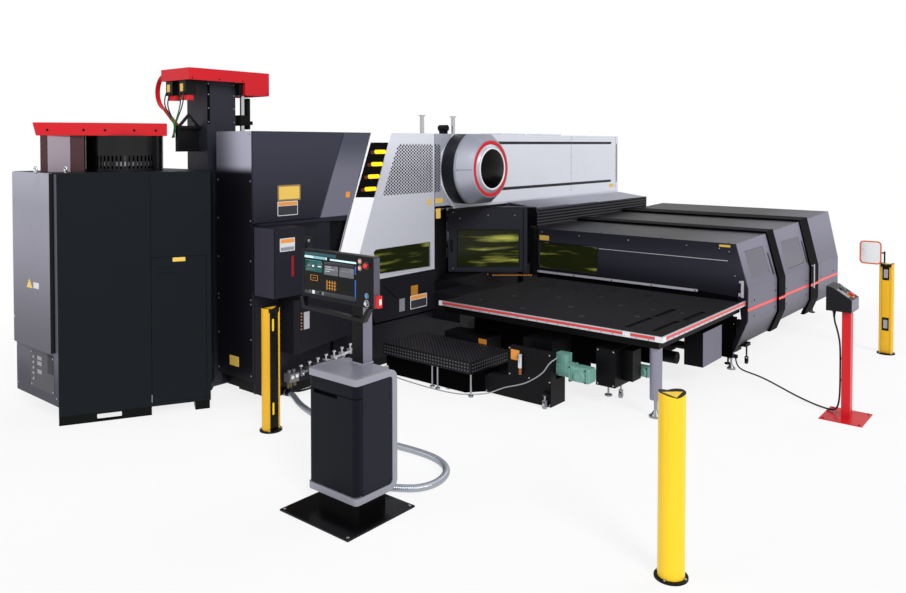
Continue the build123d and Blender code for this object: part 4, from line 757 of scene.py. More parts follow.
    def laser_side(self) -> dict[str, Finish]:
        """Finishes of the enclosure, the table and what is below it."""
        plated = {"roughness": 0.3, "metallic": 0.8, "z0": -5}
        roof = {"x1": 3396, "z0": 1200}
        deck = {"x0": 303, "x1": 782, "y0": 1501, "z0": 1600, "z1": 1720}
        return {
            "table_frame": Finish(
                "table_carcase_coat", "#070709", "frame_black", 0.5, gloss=0.1,
                zones=(Zone("#8b8a98", 0.35, 0.3, x0=3340, x1=3460, y0=-560, y1=-440, z0=165, z1=645),
                       Zone("#9a9ba0", x0=3340, x1=3470, y0=-570, y1=-430, z1=165, **plated),
                       Zone("#6b6977", 0.42, x0=3439, x1=3441, y0=400, y1=1100, z0=200, z1=600))),
            "scrap_conveyor": Finish(
                "conveyor_coat", "#08080b", "frame_black", 0.45, gloss=0.12,
                zones=(Zone("#9a9ba0", x1=2720, y1=-941, z1=132, **plated),
                       Zone("#9a9ba0", x0=2725, z1=199.7, **plated),
                       Zone("#3a3a3e", 0.4, 0.5, x0=1774, x1=2045, y0=-916, y1=-694, z0=140, z1=262),
                       Zone("#c2c3c6", 0.25, 0.8, x0=2180, x1=2240, y0=-980, y1=-931, z0=270, z1=480))),
            "step_platform": Finish(
                "step_coat", "#0c0c0f", "frame_black", 0.45, gloss=0.18,
                zones=(Zone("#a2a3a8", 0.3, 0.85, z0=-5, z1=226),
                       Zone("#121215", 0.5, x0=860, x1=1451, y0=-480.5, y1=-219, z0=250, z1=409))),
            "table_top": Finish("brush_mat", "#050506", "brush_black", 0.7, 0, BRISTLE, 8, 0.5, gloss=0.08),
            "table_trim": EDGING, "gear_motors": GREEN,
            "enclosure_sections": Finish(
                "enclosure_grey", "#6f6d7b", "panel_grey", 0.42, gloss=0.12,
                # Painted light lightens the end walls towards the top, and painted shade darkens them low down.
                zones=(Zone("#807e8d", 0.4, x0=3396, z0=900, fade=(Z, 900, 1400)),
                       Zone("#2b2a33", 0.4, x0=3300, x1=3539, z0=0, z1=640, fade=(Z, 620, 230)),
                       # The roof is dark, with a painted highlight that lightens it towards its right edge.
                       Zone("#0a0a0e", 0.36, 0.1, **roof),
                       Zone("#484852", 0.34, 0.1, fade=(X, 2500, 3392), **roof))),
            "enclosure_front": Finish(
                "enclosure_front_coat", "#1a1a22", "dark_panel", 0.4, gloss=0.15,
                # Painted light: the front wall is lighter from about 1120 up, and a little darker again above about
                # 1370.
                zones=(Zone("#32323d", 0.4, z0=0, fade=(Z, 820, 1120)),
                       Zone("#24242d", 0.4, z0=0, fade=(Z, 1180, 1370)))),
            "enclosure_ribs": Finish("rib_coat", "#040406", "frame_black", 0.6, gloss=0.03),
            "enclosure_rail": Finish(
                "bright_rail_parts", "#c4c4cb", "trim_aluminium", 0.36, 0.1, BRUSHED, 3,
                zones=(Zone("#e9c25a", 0.4, x0=3210, x1=3345, y0=1490, y1=1500, z0=1340, z1=1375),)),
            "bellows_cover": Finish(
                "travel_cover_coat", "#101014", "dark_panel", 0.4, gloss=0.15,
                # Painted light: the deck lightens towards the rear.
                zones=(Zone("#4f4f5b", 0.3, **deck), Zone("#92929f", 0.3, fade=(Y, 1500, 3200), **deck))),
            "enclosure_frame": Finish(
                "support_coat", "#08080a", "frame_black", 0.5, gloss=0.12,
                zones=(Zone("#9a9ba0", x0=3320, x1=3450, y0=1400, y1=1499, z1=129, **plated),
                       Zone("#8b8a98", 0.4, 0.3, x0=3352, x1=3400, y0=1439, y1=1499, z0=130, z1=192))),
            "tinted_windows": FILTER, "corner_door": DARK, "laser_head": STEEL, "sheet_carriage": STEEL}

    def around(self) -> dict[str, Finish]:
        """Finishes of the console and the push-button stand."""
        fronts = Finish("console_fronts", "#101219", "console_dark", 0.36, gloss=0.08)
        return {
            "console_base": Finish(
                "console_base_coat", "#030304", "frame_black", 0.28, gloss=0.2, relief=0.03,
                zones=(Zone("#7c7b88", 0.38, 0.2, z0=951),
                       Zone("#050508", 0.5, y1=-3364, z0=951),
                       Zone("#8a8f98", 0.35, 0.8, x0=2480, x1=2600, y0=-3350, y1=-3200, z0=20, z1=100))),
            "console_band": Finish("silver_band_enamel", "#94959f", "silver_paint", 0.32, 0.15, relief=0.04),
            "console_shell": Finish("console_case", "#1e1f29", "console_dark", 0.4, gloss=0.1),
            "console_drawer": fronts, "console_door": fronts,
            "screen_head": Finish(
                "screen_housing", "#070709", "console_dark", 0.28, gloss=0.2, relief=0.02,
                zones=(Zone("#55535f", 0.4, x0=2889.4, x1=2891, z0=1000),
                       Zone("#d02a2c", 0.35, x0=2891, z0=1000, z1=1515))),
            "screen_glass": Finish("display_glass", "#040506", "screen_black", 0.15, surface=SMOOTH, gloss=0.15),
            "station_stand": RED,
            "station_box": Finish("push_button_box", "#121317", "console_dark", 0.42, gloss=0.18,
                                  zones=(Zone("#7b7987", 0.42, x0=4804.3, x1=4806, z0=900),))}

    def build(self) -> None:
        """Dress the nodes."""
        for node, finish in (self.frame_side() | self.laser_side() | self.around()).items():
            dress(node, finish)


@dataclass
class Magazine:
    """Tool magazine: its face carries a bare plate and screws, its hood the light case."""

    start: Triple = (-558.0, -4083.0, 0.0)
    end: Triple = (57.0, -2941.0, 0.0)
    left: float = -1428.0

    def seat(self, out: float = 0.0) -> Seat:
        """Seat on the main face, moved outwards by a distance.

        Args:
            out: the distance.

        Returns:
            The seat.
        """
        way = np.array(self.end) - np.array(self.start)
        way /= np.linalg.norm(way)
        origin = np.array(self.start) + np.cross(way, (0, 0, 1)) * out
        return Seat(tuple(origin), tuple(way), (0, 0, 1))

    def face(self) -> None:
        """Make the main face's plate, seam and screws, the rim's screws and the hood's light case."""
        face = self.seat()
        lay(face, ("magazine_plate", PLATE_YELLOW, 958, 1070, 1408, 1446, 2.5, 3), body="magazine_door")
        lay(face, ("magazine_seam", GAP, 768.5, 771.5, 1456, 2225, 0.7, 1, 0.2))
        fasten(face, ("magazine_face_screws", DARK_SCREW, grid((16, 1258), (330, 700, 1080, 1460, 1830, 2190)), 8, 4))
        bulge = [(a, -308 + 55 * (1 - ((a - 373) / 559) ** 2)) for a in (-90, 210, 390, 640, 830)]
        dots = [self.seat(out).put([[a, 2624, 0]])[0] for a, out in bulge]
        screw = turned(Seat((0, 0, 0), face.along, face.up), 0, 0, [(11, -1), (11, 3), (7, 6)], 10)
        piece("rim_screws", repeat(screw, dots), DARK_SCREW)
        lay(self.seat(-299.5),
            ("hood_case_face", LILAC, -90, 96, 2241, 2573, 3, 5),
            ("hood_case_strip_left", MAROON, -149, -94, 2241, 2573, 1.5, 3, 1, -5.5),
            ("hood_case_strip_right", MAROON, 100, 211, 2241, 2573, 1.5, 3, 1, -5.5))

    def bay(self) -> None:
        """Make the electric door's plates, the terminal panel and the left side's louvres."""
        door = front_at(-4125)
        fasten(door, ("electric_door_latches", SCREW, [(-1352, 1975), (-1352, 880)], 14, 6, 12), body="electric_door")
        piece("electric_door_plate_amber", plate(door, [(-1085, 1185), (-965, 1185), (-1025, 1270)], 1.5, 0.5),
              PLATE_YELLOW, "electric_door")
        lay(door, ("electric_door_plate_white", PLATE_WHITE, -940, -830, 1192, 1246, 1.5, 4, 0.5),
            body="electric_door")
        lay(front_at(-4083), ("terminal_cover", PLATE_DARK, -1120, -640, 260, 600, 2, 5, 1))
        spots = [(-1100, 280), (-660, 280), (-1100, 580), (-660, 580), (-1395, 240), (-1395, 600), (-590, 240)]
        fasten(front_at(-4085),
               ("terminal_screws", SCREW, spots, 8, 4),
               ("terminal_sockets", PLATE_GREY, [(-1050, z) for z in range(540, 339, -50)], 15, 9, 12))
        line_up(front_at(0), "terminal_plates", PLATE_GREY, (-44, 44, -18, 18, 2, 4, 0.8),
                [(-930, -4085, z) for z in (545, 495, 420)])
        line_up(left_at(0), "cabinet_louvres", BLACK, (-210, 210, -6, 6, 7, 6, 3),
                [(self.left, -3400, 1200 + 34 * i) for i in range(14)])
        fasten(left_at(self.left),
               ("cabinet_side_screws", DARK_SCREW, grid((2760, 3380, 4050), (260, 1100, 2180)), 9, 4))

    def build(self) -> None:
        """Make both faces."""
        self.face()
        self.bay()


@dataclass
class ToolLift:
    """Tool lift: plates and ribs of its motors, the strip of its column and the screws of its red hood."""

    hood_side: float = -406.0
    column_side: float = -506.0
    motor_front: float = -2846.0

    def build(self) -> None:
        """Make the hood's screws, the motor plates and the column's cover strips."""
        fasten(side_at(self.hood_side),
               ("lift_hood_screws", DARK_SCREW, [(-2830, 3150), (-2520, 3150), (-2240, 3150), (-1930, 3030)], 8, 4))
        line_up(front_at(0), "motor_plates", PLATE_YELLOW, (-26, 26, -38, 38, 2, 4, 0.8),
                [(x, self.motor_front, 3060) for x in (-812, -572)])
        line_up(front_at(0), "motor_ribs", BLACK, (-52, 52, -4, 4, 5, 3, 1.5),
                [(x, self.motor_front, 3130 + 18 * i) for x in (-800, -560) for i in range(5)])
        lay(side_at(-560), ("rod_head_block", BLACK, -2261, -2214, 3000, 3130, 120, 4, 2))
        column = side_at(self.column_side)
        lay(column, ("column_strip", GAP, -2598, -2570, 2700, 3120, 2, 3, 0.8))
        fasten(column, ("column_screws", SCREW, grid((-2585, -2280), (2720, 2860, 3000, 3110)), 8, 5))


@dataclass
class FrameCovers:
    """Covers of the C-frame: plates, screws, the lamp bars, the perforated field and the window's trim."""

    side: float = 300.0
    end: float = -2633.0
    hole: float = 13.0
    field: Pair = (1922.0, 2494.0)
    pitch: Pair = (52.0, 18.6)

    def lamps(self) -> None:
        """Make the lamp insert and its four bars, which replace the plain ones."""
        seat = side_at(self.side)
        corners = [(-1073, 2507), (-1303, 1923), (-1024, 1910), (-798, 2507)]
        insert = piece("lamp_insert", plate(seat, corners, 5.8, 1, -12), LAMP_BLACK)
        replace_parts(insert, "status_lamps")
        for row in range(4):
            y, z = -1040 - 50.5 * row, 2408 - 136 * row
            lay(seat, (f"lamp_bar_{row + 1}", AMBER, y + 22, y + 203, z - 23, z + 23, 9, 23, 4, -6),
                (f"lamp_back_{row + 1}", EMBER, y - 34, y + 40, z - 26, z + 12, 3, 16, 1, -6.1))

    def perforation(self) -> None:
        """Make the holes of the perforated field, with those behind the seam, as dark sunk discs."""
        spots = lattice(-905, -40, *self.field, *self.pitch)
        inside = spots[:, 0] > -636 - (2500 - spots[:, 1]) * 0.446
        fasten(side_at(self.side - 3), ("cover_holes", GAP, spots[inside], self.hole, 0.4))
        spots = lattice(14, 100, *self.field, *self.pitch)
        inside = np.hypot(spots[:, 0] - 596, spots[:, 1] - 2190) > 492
        fasten(side_at(self.side), ("rear_cover_holes", GAP, spots[inside], self.hole, 0.4))

    def plates(self) -> None:
        """Make the bare plates on the side, the access door and the end."""
        seat, end = side_at(self.side), front_at(self.end)
        lay(seat,
            ("upper_plate_rim", BRONZE, -2350, -2064, 1934, 2092, 3, 12),
            ("upper_plate", PLATE_YELLOW, -2334, -2080, 1950, 2076, 4.5, 8),
            ("lower_plate_rim", PLATE_WHITE, -2352, -2100, 1788, 1930, 3, 8),
            ("lower_plate_head", PLATE_ORANGE, -2344, -2108, 1890, 1923, 4.2, 4),
            ("lower_plate_field", PLATE_DARK, -2344, -2108, 1796, 1884, 4.2, 4),
            ("small_plate", PLATE_ORANGE, -1450, -1392, 1924, 1986, 2, 6),
            ("seam_plate", PLATE_YELLOW, 12, 150, 1778, 1836, 2, 5),
            ("under_cover_plate_rim", PLATE_WHITE, -441, -148, 560, 718, 4, 8, 1),
            ("under_cover_plate_head", PLATE_ORANGE, -432, -157, 670, 710, 5.4, 4, 1),
            ("under_cover_plate_field", PLATE_DARK, -432, -157, 568, 662, 5.4, 4, 1))
        piece("cover_plates", plate(seat, [(-156, 1770), (-46, 1770), (-101, 1862)], 2, 0.6), PLATE_YELLOW)
        lay(side_at(298.5), ("frame_plate", PLATE_YELLOW, 22, 106, 1590, 1712, 3, 6))
        lay(side_at(616),
            ("access_plate", PLATE_WHITE, -2572, -2396, 1488, 1612, 2, 6),
            ("access_plate_head", PLATE_ORANGE, -2564, -2404, 1568, 1604, 3, 3),
            ("access_plate_field", PLATE_GREY, -2564, -2404, 1496, 1528, 3, 3), body="access_door")
        lay(end, ("end_plate", PLATE_YELLOW, -98, 52, 322, 420, 2, 5))
        heights = (2590, 2140, 1760, 1375, 1000, 960, 620, 270)
        fasten(end, ("end_screws", SCREW, grid((-278, 248), heights), 9, 4))

    def edges(self) -> None:
        """Make the bright edge round the throat window, the fold lines and the lever plate."""
        seat = side_at(self.side)
        outer = np.array([(-1078, 1284), (-1016, 1340), (-64, 1340), (-64, 1004), (-962, 1020)])
        inner = np.array([(-1040, 1290), (-1008, 1322), (-84, 1322), (-84, 1024), (-935, 1042)])
        piece("throat_window_trim", surround(seat, outer, inner, 4, -0.5), FOLD)
        piece("cover_fold_seam", plate(seat, [(-6, 1000), (-2, 1000), (-2, 2612), (-6, 2612)], 0.8, 0.3), GAP)
        piece("case_seam", plate(seat, [(-884, 894), (-876, 900), (-660, 728), (-668, 722)], 1, 0.3), GAP)
        lay(seat, ("panel_seam", GAP, -2630, -1900, 1733, 1739, 0.8, 1, 0.3))
        lay(side_at(480), ("lever_case_plate", LEVER_BLACK, -2222, -2078, 1360, 1580, 3, 8))
        fasten(side_at(483), ("lever_case_dials", SCREW, [(-2185, 1540), (-2115, 1540), (-2185, 1400)], 16, 8, 16))

    def build(self) -> None:
        """Make all of it."""
        self.lamps()
        self.perforation()
        self.plates()
        self.edges()


@dataclass
class DriveDrum:
    """Drive drum: a dark band, a bevelled silver cap, a red ring, a light ring and a black disc."""

    y: float = 596.0
    z: float = 2190.0
    low: float = 1757.0
    high: float = 2618.0
    sides: int = 96

    def ring(self, name: str, profile: list[Pair], finish: Finish, closed: bool = True) -> bpy.types.Object:
        """Turn a profile about the drum's axis, and press its points onto the two flats.

        Args:
            name: name of the piece.
            profile: (radius, x) pairs.
            finish: its finish.
            closed: whether the profile runs round a ring's section.

        Returns:
            The object.
        """
        shape = turned(side_at(0), self.y, self.z, profile, self.sides, closed)
        shape.points[:, Z] = np.clip(shape.points[:, Z], self.low, self.high)
        return piece(name, shape, finish, sharp=24)

    def build(self) -> None:
        """Make the drum's pieces and its joint line."""
        band = self.ring("drum_band", [(480, 300.6), (480, 488), (474, 494.8)], DRUM_DARK, False)
        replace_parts(band, "drum_shell")
        shell = [(345.5, 640), (478, 495.2), (484, 500), (484, 534), (480, 542), (362, 698), (352, 702), (346, 701),
                 (345.5, 690)]
        cap = self.ring("drum_cap_cover", shell, DRUM_SILVER)
        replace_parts(cap, "drum_cap")
        self.ring("drum_red_ring", [(303, 688), (345, 688), (345, 703), (341, 705), (307, 705), (303, 703)], RED)
        self.ring("drum_inner_ring", [(262, 668), (302.5, 668), (302.5, 699), (298, 702), (272, 722), (262, 724)],
                  INNER_RING)
        self.ring("drum_bright_ring", [(242, 700), (261.5, 700), (261.5, 726), (258, 731), (246, 731), (242, 727)],
                  BRIGHT_RING)
        self.ring("drum_centre", [(241.5, 690), (241.5, 722), (234, 725), (10, 727)], DISC, False)
        for number, side in enumerate((-1, 1), 1):
            near, far = self.y + side * 482, self.y + side * 364
            line = np.array([(541, near, 2182), (541, near, 2186), (696, far, 2186), (696, far, 2182)])
            piece(f"drum_joint_{number}", loft(np.stack([line, line + (2.5, side * 2.0, 0)])), DRUM_JOINT)
        fasten(side_at(541), ("drum_screws", DARK_SCREW, [(self.y - 478, 2180), (self.y + 478, 2180)], 7, 5))


@dataclass
class UpperArm:
    """Upper arm's cover: joint lines, the end seam, and the top's low covers and screws."""

    side: float = 300.0
    rear: float = 4650.0
    turret_side: float = -1300.0

    def build(self) -> None:
        """Make the lines, screws and top details."""
        seat, left = side_at(self.side), left_at(0)
        lay(seat,
            ("arm_seam", ARM_JOINT, 3158, 3163, 1760, 2612, 0.8, 1, 0.3),
            ("arm_end_seam", ARM_JOINT, 4560, 4566, 1760, 2612, 0.8, 1, 0.3),
            ("arm_lower_band", SILVER, 345, 4646, 1694, 1726, 1.8, 2, 0.6, -0.2),
            ("arm_end_slot", ARM_SLOT, 4585, 4607, 1868, 2500, 1, 8, 0.3),
            ("arm_end_plates", PLATE_YELLOW, 4350, 4500, 1792, 1840, 2, 4, 0.5))
        fasten(seat, ("arm_screws", SCREW, grid((3125, 3195, 4540), (1800, 2050, 2300, 2570)), 7, 3))
        lay(rear_at(self.rear), ("arm_rear_panel", SILVER, -262, 262, 1790, 2560, 3, 20, 2, -0.2))
        fasten(rear_at(self.rear + 3), ("arm_rear_screws", SCREW, grid((-240, 240), (1820, 2180, 2530)), 9, 4))
        lay(top_at(2619),
            ("arm_top_cover_1", SILVER, -180, 262, 1424, 1983, 20, 6, 3),
            ("arm_top_cover_2", SILVER, -180, 262, 2425, 2937, 20, 6, 3))
        line_up(left, "arm_left_seams", ARM_JOINT, (-3, 3, 1760, 2612, 0.8, 1, 0.3),
                [(-self.side, y, 0) for y in (1500, 3100)])
        line_up(left, "arm_left_louvres", SILVER, (-420, 420, -9, 9, 9, 9, 4),
                [(-self.side, 2300, 1900 + 46 * i) for i in range(12)])
        fasten(left_at(-self.side),
               ("arm_left_screws", SCREW, grid((-60, -1460, -1540, -3060, -3140, -4600), (1790, 2570)), 8, 4))
        fasten(left_at(self.turret_side),
               ("turret_cover_screws", SCREW, grid((-360, -1400, -2450, -3500, -4540), (300, 700, 1110)), 9, 4))
        line_up(left, "turret_cover_seams", GAP, (-3, 3, 262, 1146, 1, 1, 0.3),
                [(self.turret_side, y, 0) for y in (1380, 2450, 3520)])
        line_up(left, "turret_cover_grips", BLACK, (-55, 55, -14, 14, 12, 12, 4),
                [(self.turret_side, y, 900) for y in (1180, 2250, 3320)])


@dataclass
class Enclosure:
    """Laser enclosure: red stripe, end windows with their grips, rivets and front screws."""

    front: float = 1500.0
    rear: float = 5300.0
    roof_x: float = 3397.0
    side_x: float = 3538.0
    proud: float = 26.0
    ribs: tuple[Pair, Pair] = ((2500.0, 2742.0), (3830.0, 4178.0))
    step: float = 804.5

    def fold(self, y: float) -> float:
        """Height of the fold between the leaning wall and the upright one."""
        return 905 - 0.019 * (y - self.front)

    def roof(self, y: float) -> float:
        """Height of the roof."""
        return 1386 + 0.030 * (y - self.front)

    def lean(self, y: float) -> Seat:
        """Seat on the leaning end wall at y, with y along and the slope up.

        Args:
            y: where its slope is taken.

        Returns:
            The seat.
        """
        rise, run = self.roof(y) - self.fold(y), self.roof_x - self.side_x
        size = math.hypot(rise, run)
        return Seat((self.side_x, 0, self.fold(y)), (0, 1, 0), (run / size, 0, rise / size))

    def stripes(self) -> None:
        """Make the red stripe section by section: it falls with the fold towards the rear."""
        edges = [self.front + 2, *self.ribs[0], *self.ribs[1], self.rear - 2]
        for index, (y0, y1) in enumerate(zip(edges, edges[1:])):
            x = self.side_x + (self.proud if index % 2 else 0)
            low = [(y, self.fold(y) - 234 + shift) for y, shift in ((y0, -15), (y1, -15), (y1, 15), (y0, 15))]
            piece(f"stripe_{index + 1}", plate(side_at(x), low, 1.6, 0.4), STRIPE)

    def windows(self) -> None:
        """Make the grey panes in black frames with a slot grip beside each, and the rivets."""
        for number, (y0, y1, reach) in enumerate(((1700, 2300, 2400), (2955, 3665, 3765)), 1):
            seat = self.lean((y0 + y1) / 2)
            piece(f"end_window_{number}", plate(seat, rounded(y0 + 6, y1 - 6, 92, 402, 14), 7, 1, -8), GREY_PANE)
            grip = [(reach - 2, 62), (reach + 46, 50), (reach + 20, 425), (reach - 30, 430)]
            piece(f"end_grip_{number}", plate(seat, grip, 1.2, 0.4), SLOT_BLACK)
        rivets = [(1718, 752), (1711, 576), (2442, 756), (2862, 718), (2868, 527), (4357, 470), (4404, 668),
                  (5051, 666), (3700, 700), (3700, 520), (2430, 560), (5080, 430)]
        fasten(side_at(self.side_x), ("end_rivets", DARK_SCREW, rivets, 11, 5))

    def front_wall(self) -> None:
        """Make the front wall's plate, screws, window trim and sill screws."""
        seat = front_at(self.front)
        lay(seat, ("front_plate", PLATE_YELLOW, 822, 968, 1236, 1300, 2, 8),
            ("front_fold", GAP, 1690, 3300, 1198, 1203, 0.8, 1, 0.3))
        spots = [(3327, 1299), (3394, 1032), (3217, 1326), (2834, 1330), (1420, 1332), (2100, 1330), (860, 1340),
                 (3430, 700), (3380, 500), (3360, 300)]
        fasten(seat, ("front_screws", SCREW, spots, 8, 4))
        piece("front_window_trim", surround(seat, rounded(812, 1684, 863, 1219, 14), rounded(822, 1674, 873, 1209, 8),
                                            3, -0.5), GASKET)
        spots = grid((830, 1364, 1892, 2416, 2950), (824,))
        fasten(front_at(self.front - 26), ("sill_screws", DARK_SCREW, spots, 9, 4))

    def roof_lines(self) -> None:
        """Make the screws of each roof section, and the vents and screws of the rear wall."""
        for number, y0 in enumerate((1524, 2744, 4180), 1):
            spots = grid((900, 1700, 2500, 3300), (y0 + 40,))
            fasten(top_at(self.roof(y0 + 40)), (f"roof_screws_{number}", DARK_SCREW, spots, 9, 6))
        line_up(rear_at(0), "rear_vents", BLACK, (-600, 600, -8, 8, 8, 8, 3),
                [(2100, self.rear - 1, 700 + 40 * i) for i in range(14)])
        fasten(rear_at(self.rear - 1),
               ("rear_screws", DARK_SCREW, grid((-860, -1700, -2550, -3380), (400, 900, 1380)), 10, 5))

    def hazard(self) -> None:
        """Make the slanted yellow marks on the edge of the plate under the corner door."""
        start, end = np.array((310, 1060.0)), np.array((722, 1399.0))
        way = (end - start) / np.linalg.norm(end - start)
        rear = Seat((*start, 772), (-way[0], -way[1], 0), (0, 0, 1))
        front = Seat((372.0, 1046.0, 772.0), (0.7714, 0.6363, 0), (0, 0, 1))
        marks = np.arange(16) * 33.0 + 14
        for name, place, sign in (("rear", rear, -1), ("front", front, 1)):
            shape = plate(Seat((0, 0, 0), place.along, place.up), [(0, 2), (15, 2), (23, 16), (8, 16)], 1.2, 0.3)
            spots = place.put(np.column_stack([sign * marks, np.zeros((16, 2))]))
            piece(f"hazard_marks_{name}", repeat(shape, spots), PLATE_ORANGE)

    def inlet(self) -> None:
        """Make the bristle curtain that closes the sheet slot, as a plate and a row of thin bristles."""
        outline = [(784, 690), (3440, 690), (3440, 846), (784, 846)]
        piece("inlet_curtain", plate(front_at(self.front + 14), outline, 4, 1), CURTAIN)
        line_up(front_at(0), "inlet_bristles", CURTAIN, (-3, 3, 1, 52, 3, 1, 0.5),
                [(x, self.front + 10, 757) for x in range(792, 3420, 12)])

    def travel_pleats(self) -> None:
        """Make the pleated side of the travel cover: out by a triangle wave as it goes down."""
        heights = np.linspace(1400, 1640, 13)
        outer = np.column_stack([heights, 0.4 + 6 * (np.arange(13) % 2)])
        inner = np.column_stack([heights, np.full(13, -0.6)])[::-1]
        section = np.concatenate([outer, inner])
        rings = np.stack([np.column_stack([780 + section[:, 1], np.full(26, y), section[:, 0]])
                          for y in (1502.0, 4716.0)])
        piece("travel_cover_pleats", loft(rings), PLEATS, sharp=20)
        screws = []
        for i in range(4):
            y, z = 1502 + i * self.step, 1648 - 8 * i
            lip = [(y, z), (y + 802, z), (y + 802, z + 7), (y, z + 7)]
            piece(f"travel_cover_edge_{i + 1}", plate(side_at(780), lip, 2.4, 0.6), COVER_EDGE)
            screws += [(x, y + 24, 1706 - 4 * i - (x - 302) * (49 + 4 * i) / 478) for x in (420, 560, 700)]
        head = turned(top_at(0), 0, 0, [(8, -1), (8, 2), (5, 4)], 8)
        piece("travel_cover_screws", repeat(head, screws), DARK_SCREW)

    def build(self) -> None:
        """Make all of it."""
        self.inlet()
        self.travel_pleats()
        self.stripes()
        self.windows()
        self.front_wall()
        self.roof_lines()
        self.hazard()


@dataclass
class CornerDoor:
    """Corner door: a filter pane in a dark surround, with a grip and screws."""

    free: Pair = (-86.0, 719.0)
    hinged: Pair = (712.0, 1377.0)

    def seat(self, out: float = 0.0) -> Seat:
        """Seat on the outer face, with the way to the hinge along and z up.

        Args:
            out: distance by which it is moved outwards.

        Returns:
            The seat.
        """
        way = np.array(self.hinged) - np.array(self.free)
        way /= np.linalg.norm(way)
        return Seat((self.free[0] + way[1] * out, self.free[1] - way[0] * out, 0), (way[0], way[1], 0), (0, 0, 1))

    def build(self) -> None:
        """Make the pane, its gasket, the screws and the hinge strip."""
        face, width = self.seat(), math.dist(self.free, self.hinged)
        lay(self.seat(-23), ("corner_door_pane", FILTER, 119, width - 109, 885, 1368, 15, 4, 1), body="corner_door")
        outer, inner = rounded(112, width - 102, 878, 1375, 10), rounded(124, width - 114, 890, 1363, 6)
        piece("corner_door_gasket", surround(face, outer, inner, 3, -2), BLACK, "corner_door")
        spots = [(150, 1520), (520, 1560), (870, 1560), (60, 1600), (60, 860), (980, 860)]
        fasten(face, ("corner_door_screws", SCREW, spots, 8, 4), body="corner_door")
        lay(face, ("corner_door_grip", BLACK, 28, 62, 1080, 1240, 14, 14, 5),
            ("corner_door_hinge", BLACK, width - 60, width - 44, 830, 1642, 5, 4, 2), body="corner_door")


@dataclass
class LoadingTable:
    """Brush table: bristle tufts, ball units, open slots and the banded edging."""

    low: Pair = (880.0, -600.0)
    high: Pair = (3500.0, 1472.0)
    top: float = 755.0
    pitch: float = 33.0
    slots: tuple = ((3030, 3080, -391, 120), (3040, 3090, 190, 655), (3300, 3350, -382, 150), (3325, 3375, 230, 724))
    balls: tuple = ((1008, 1140), (1407, 780), (1353, 178), (1778, 436), (1806, -317), (2159, 69), (2536, 476),
                    (2908, 486), (2919, 90), (2532, 1151), (2904, 821), (2083, 1218), (1265, 1071), (1596, 1344),
                    (2136, 777), (1724, 839), (1180, -240), (2480, -260), (3210, 520), (3200, 1010))

    def tufts(self) -> None:
        """Make the bristle tufts: small frustums on a staggered grid, left out over the slots and balls."""
        spots = lattice(self.low[0] + 22, self.high[0] - 22, self.low[1] + 22, self.high[1] - 12, self.pitch,
                        self.pitch / 2)
        x, y = spots.T
        keep = np.ones(len(spots), bool)
        for x0, x1, y0, y1 in self.slots:
            keep &= ~((x > x0 - 10) & (x < x1 + 10) & (y > y0 - 10) & (y < y1 + 10))
        for a, b in self.balls:
            keep &= np.hypot(x - a, y - b) > 34
        tuft = turned(top_at(0), 0, 0, [(9.5, -0.5), (6.5, 5.0)], 4)
        places = np.column_stack([spots[keep], np.full(int(keep.sum()), self.top)])
        piece("table_tufts", repeat(tuft, places), TUFTS, sharp=20)

    def edging(self) -> None:
        """Make the red bands, the white corners and the screws of the edging."""
        x0, y0, x1, top = *self.low, self.high[0], self.top
        front, right = front_at(y0 - 16), side_at(x1 + 16)
        band, corner = (top - 17, top + 7, 3.4, 2, 0.8), (top - 35, top + 15, 1.6, 6, 0.6)
        lay(front,
            ("table_band_front", BAND, x0 + 62, 3118, *band, -4),
            ("table_band_joint", BAND, 3202, x1 - 62, *band, -4),
            ("table_corner_1", CORNERS, x0 + 11, x0 + 58, *corner),
            ("table_corner_2", CORNERS, 3124, 3196, *corner),
            ("table_corner_3", CORNERS, x1 - 56, x1 + 15, *corner))
        lay(right,
            ("table_band_side", BAND, y0 + 62, 1268, *band, -4),
            ("table_band_end", BAND, 1268, 1490, *band, -0.6),
            ("table_corner_side", CORNERS, y0 - 14, y0 + 56, *corner))
        lay(side_at(x1 + 0.5), ("table_side_end", EDGING, 1291, 1497, top - 36, top + 16, 15.5, 1.5))
        fasten(front, ("table_edge_screws", DARK_SCREW, grid(range(980, 3440, 120), (top - 26,)), 5, 2))
        fasten(right, ("table_side_screws", DARK_SCREW, grid(range(-500, 1240, 120), (top - 26,)), 5, 2))

    def build(self) -> None:
        """Make the tufts, the ball units and the edging."""
        self.tufts()
        cup = turned(top_at(0), 0, 0, [(30, -0.5), (30, 3), (24, 3.6), (19, 1), (12, 4), (4, 5)], 16)
        piece("table_ball_units", repeat(cup, [(x, y, self.top) for x, y in self.balls]), BALL_CUPS)
        self.edging()


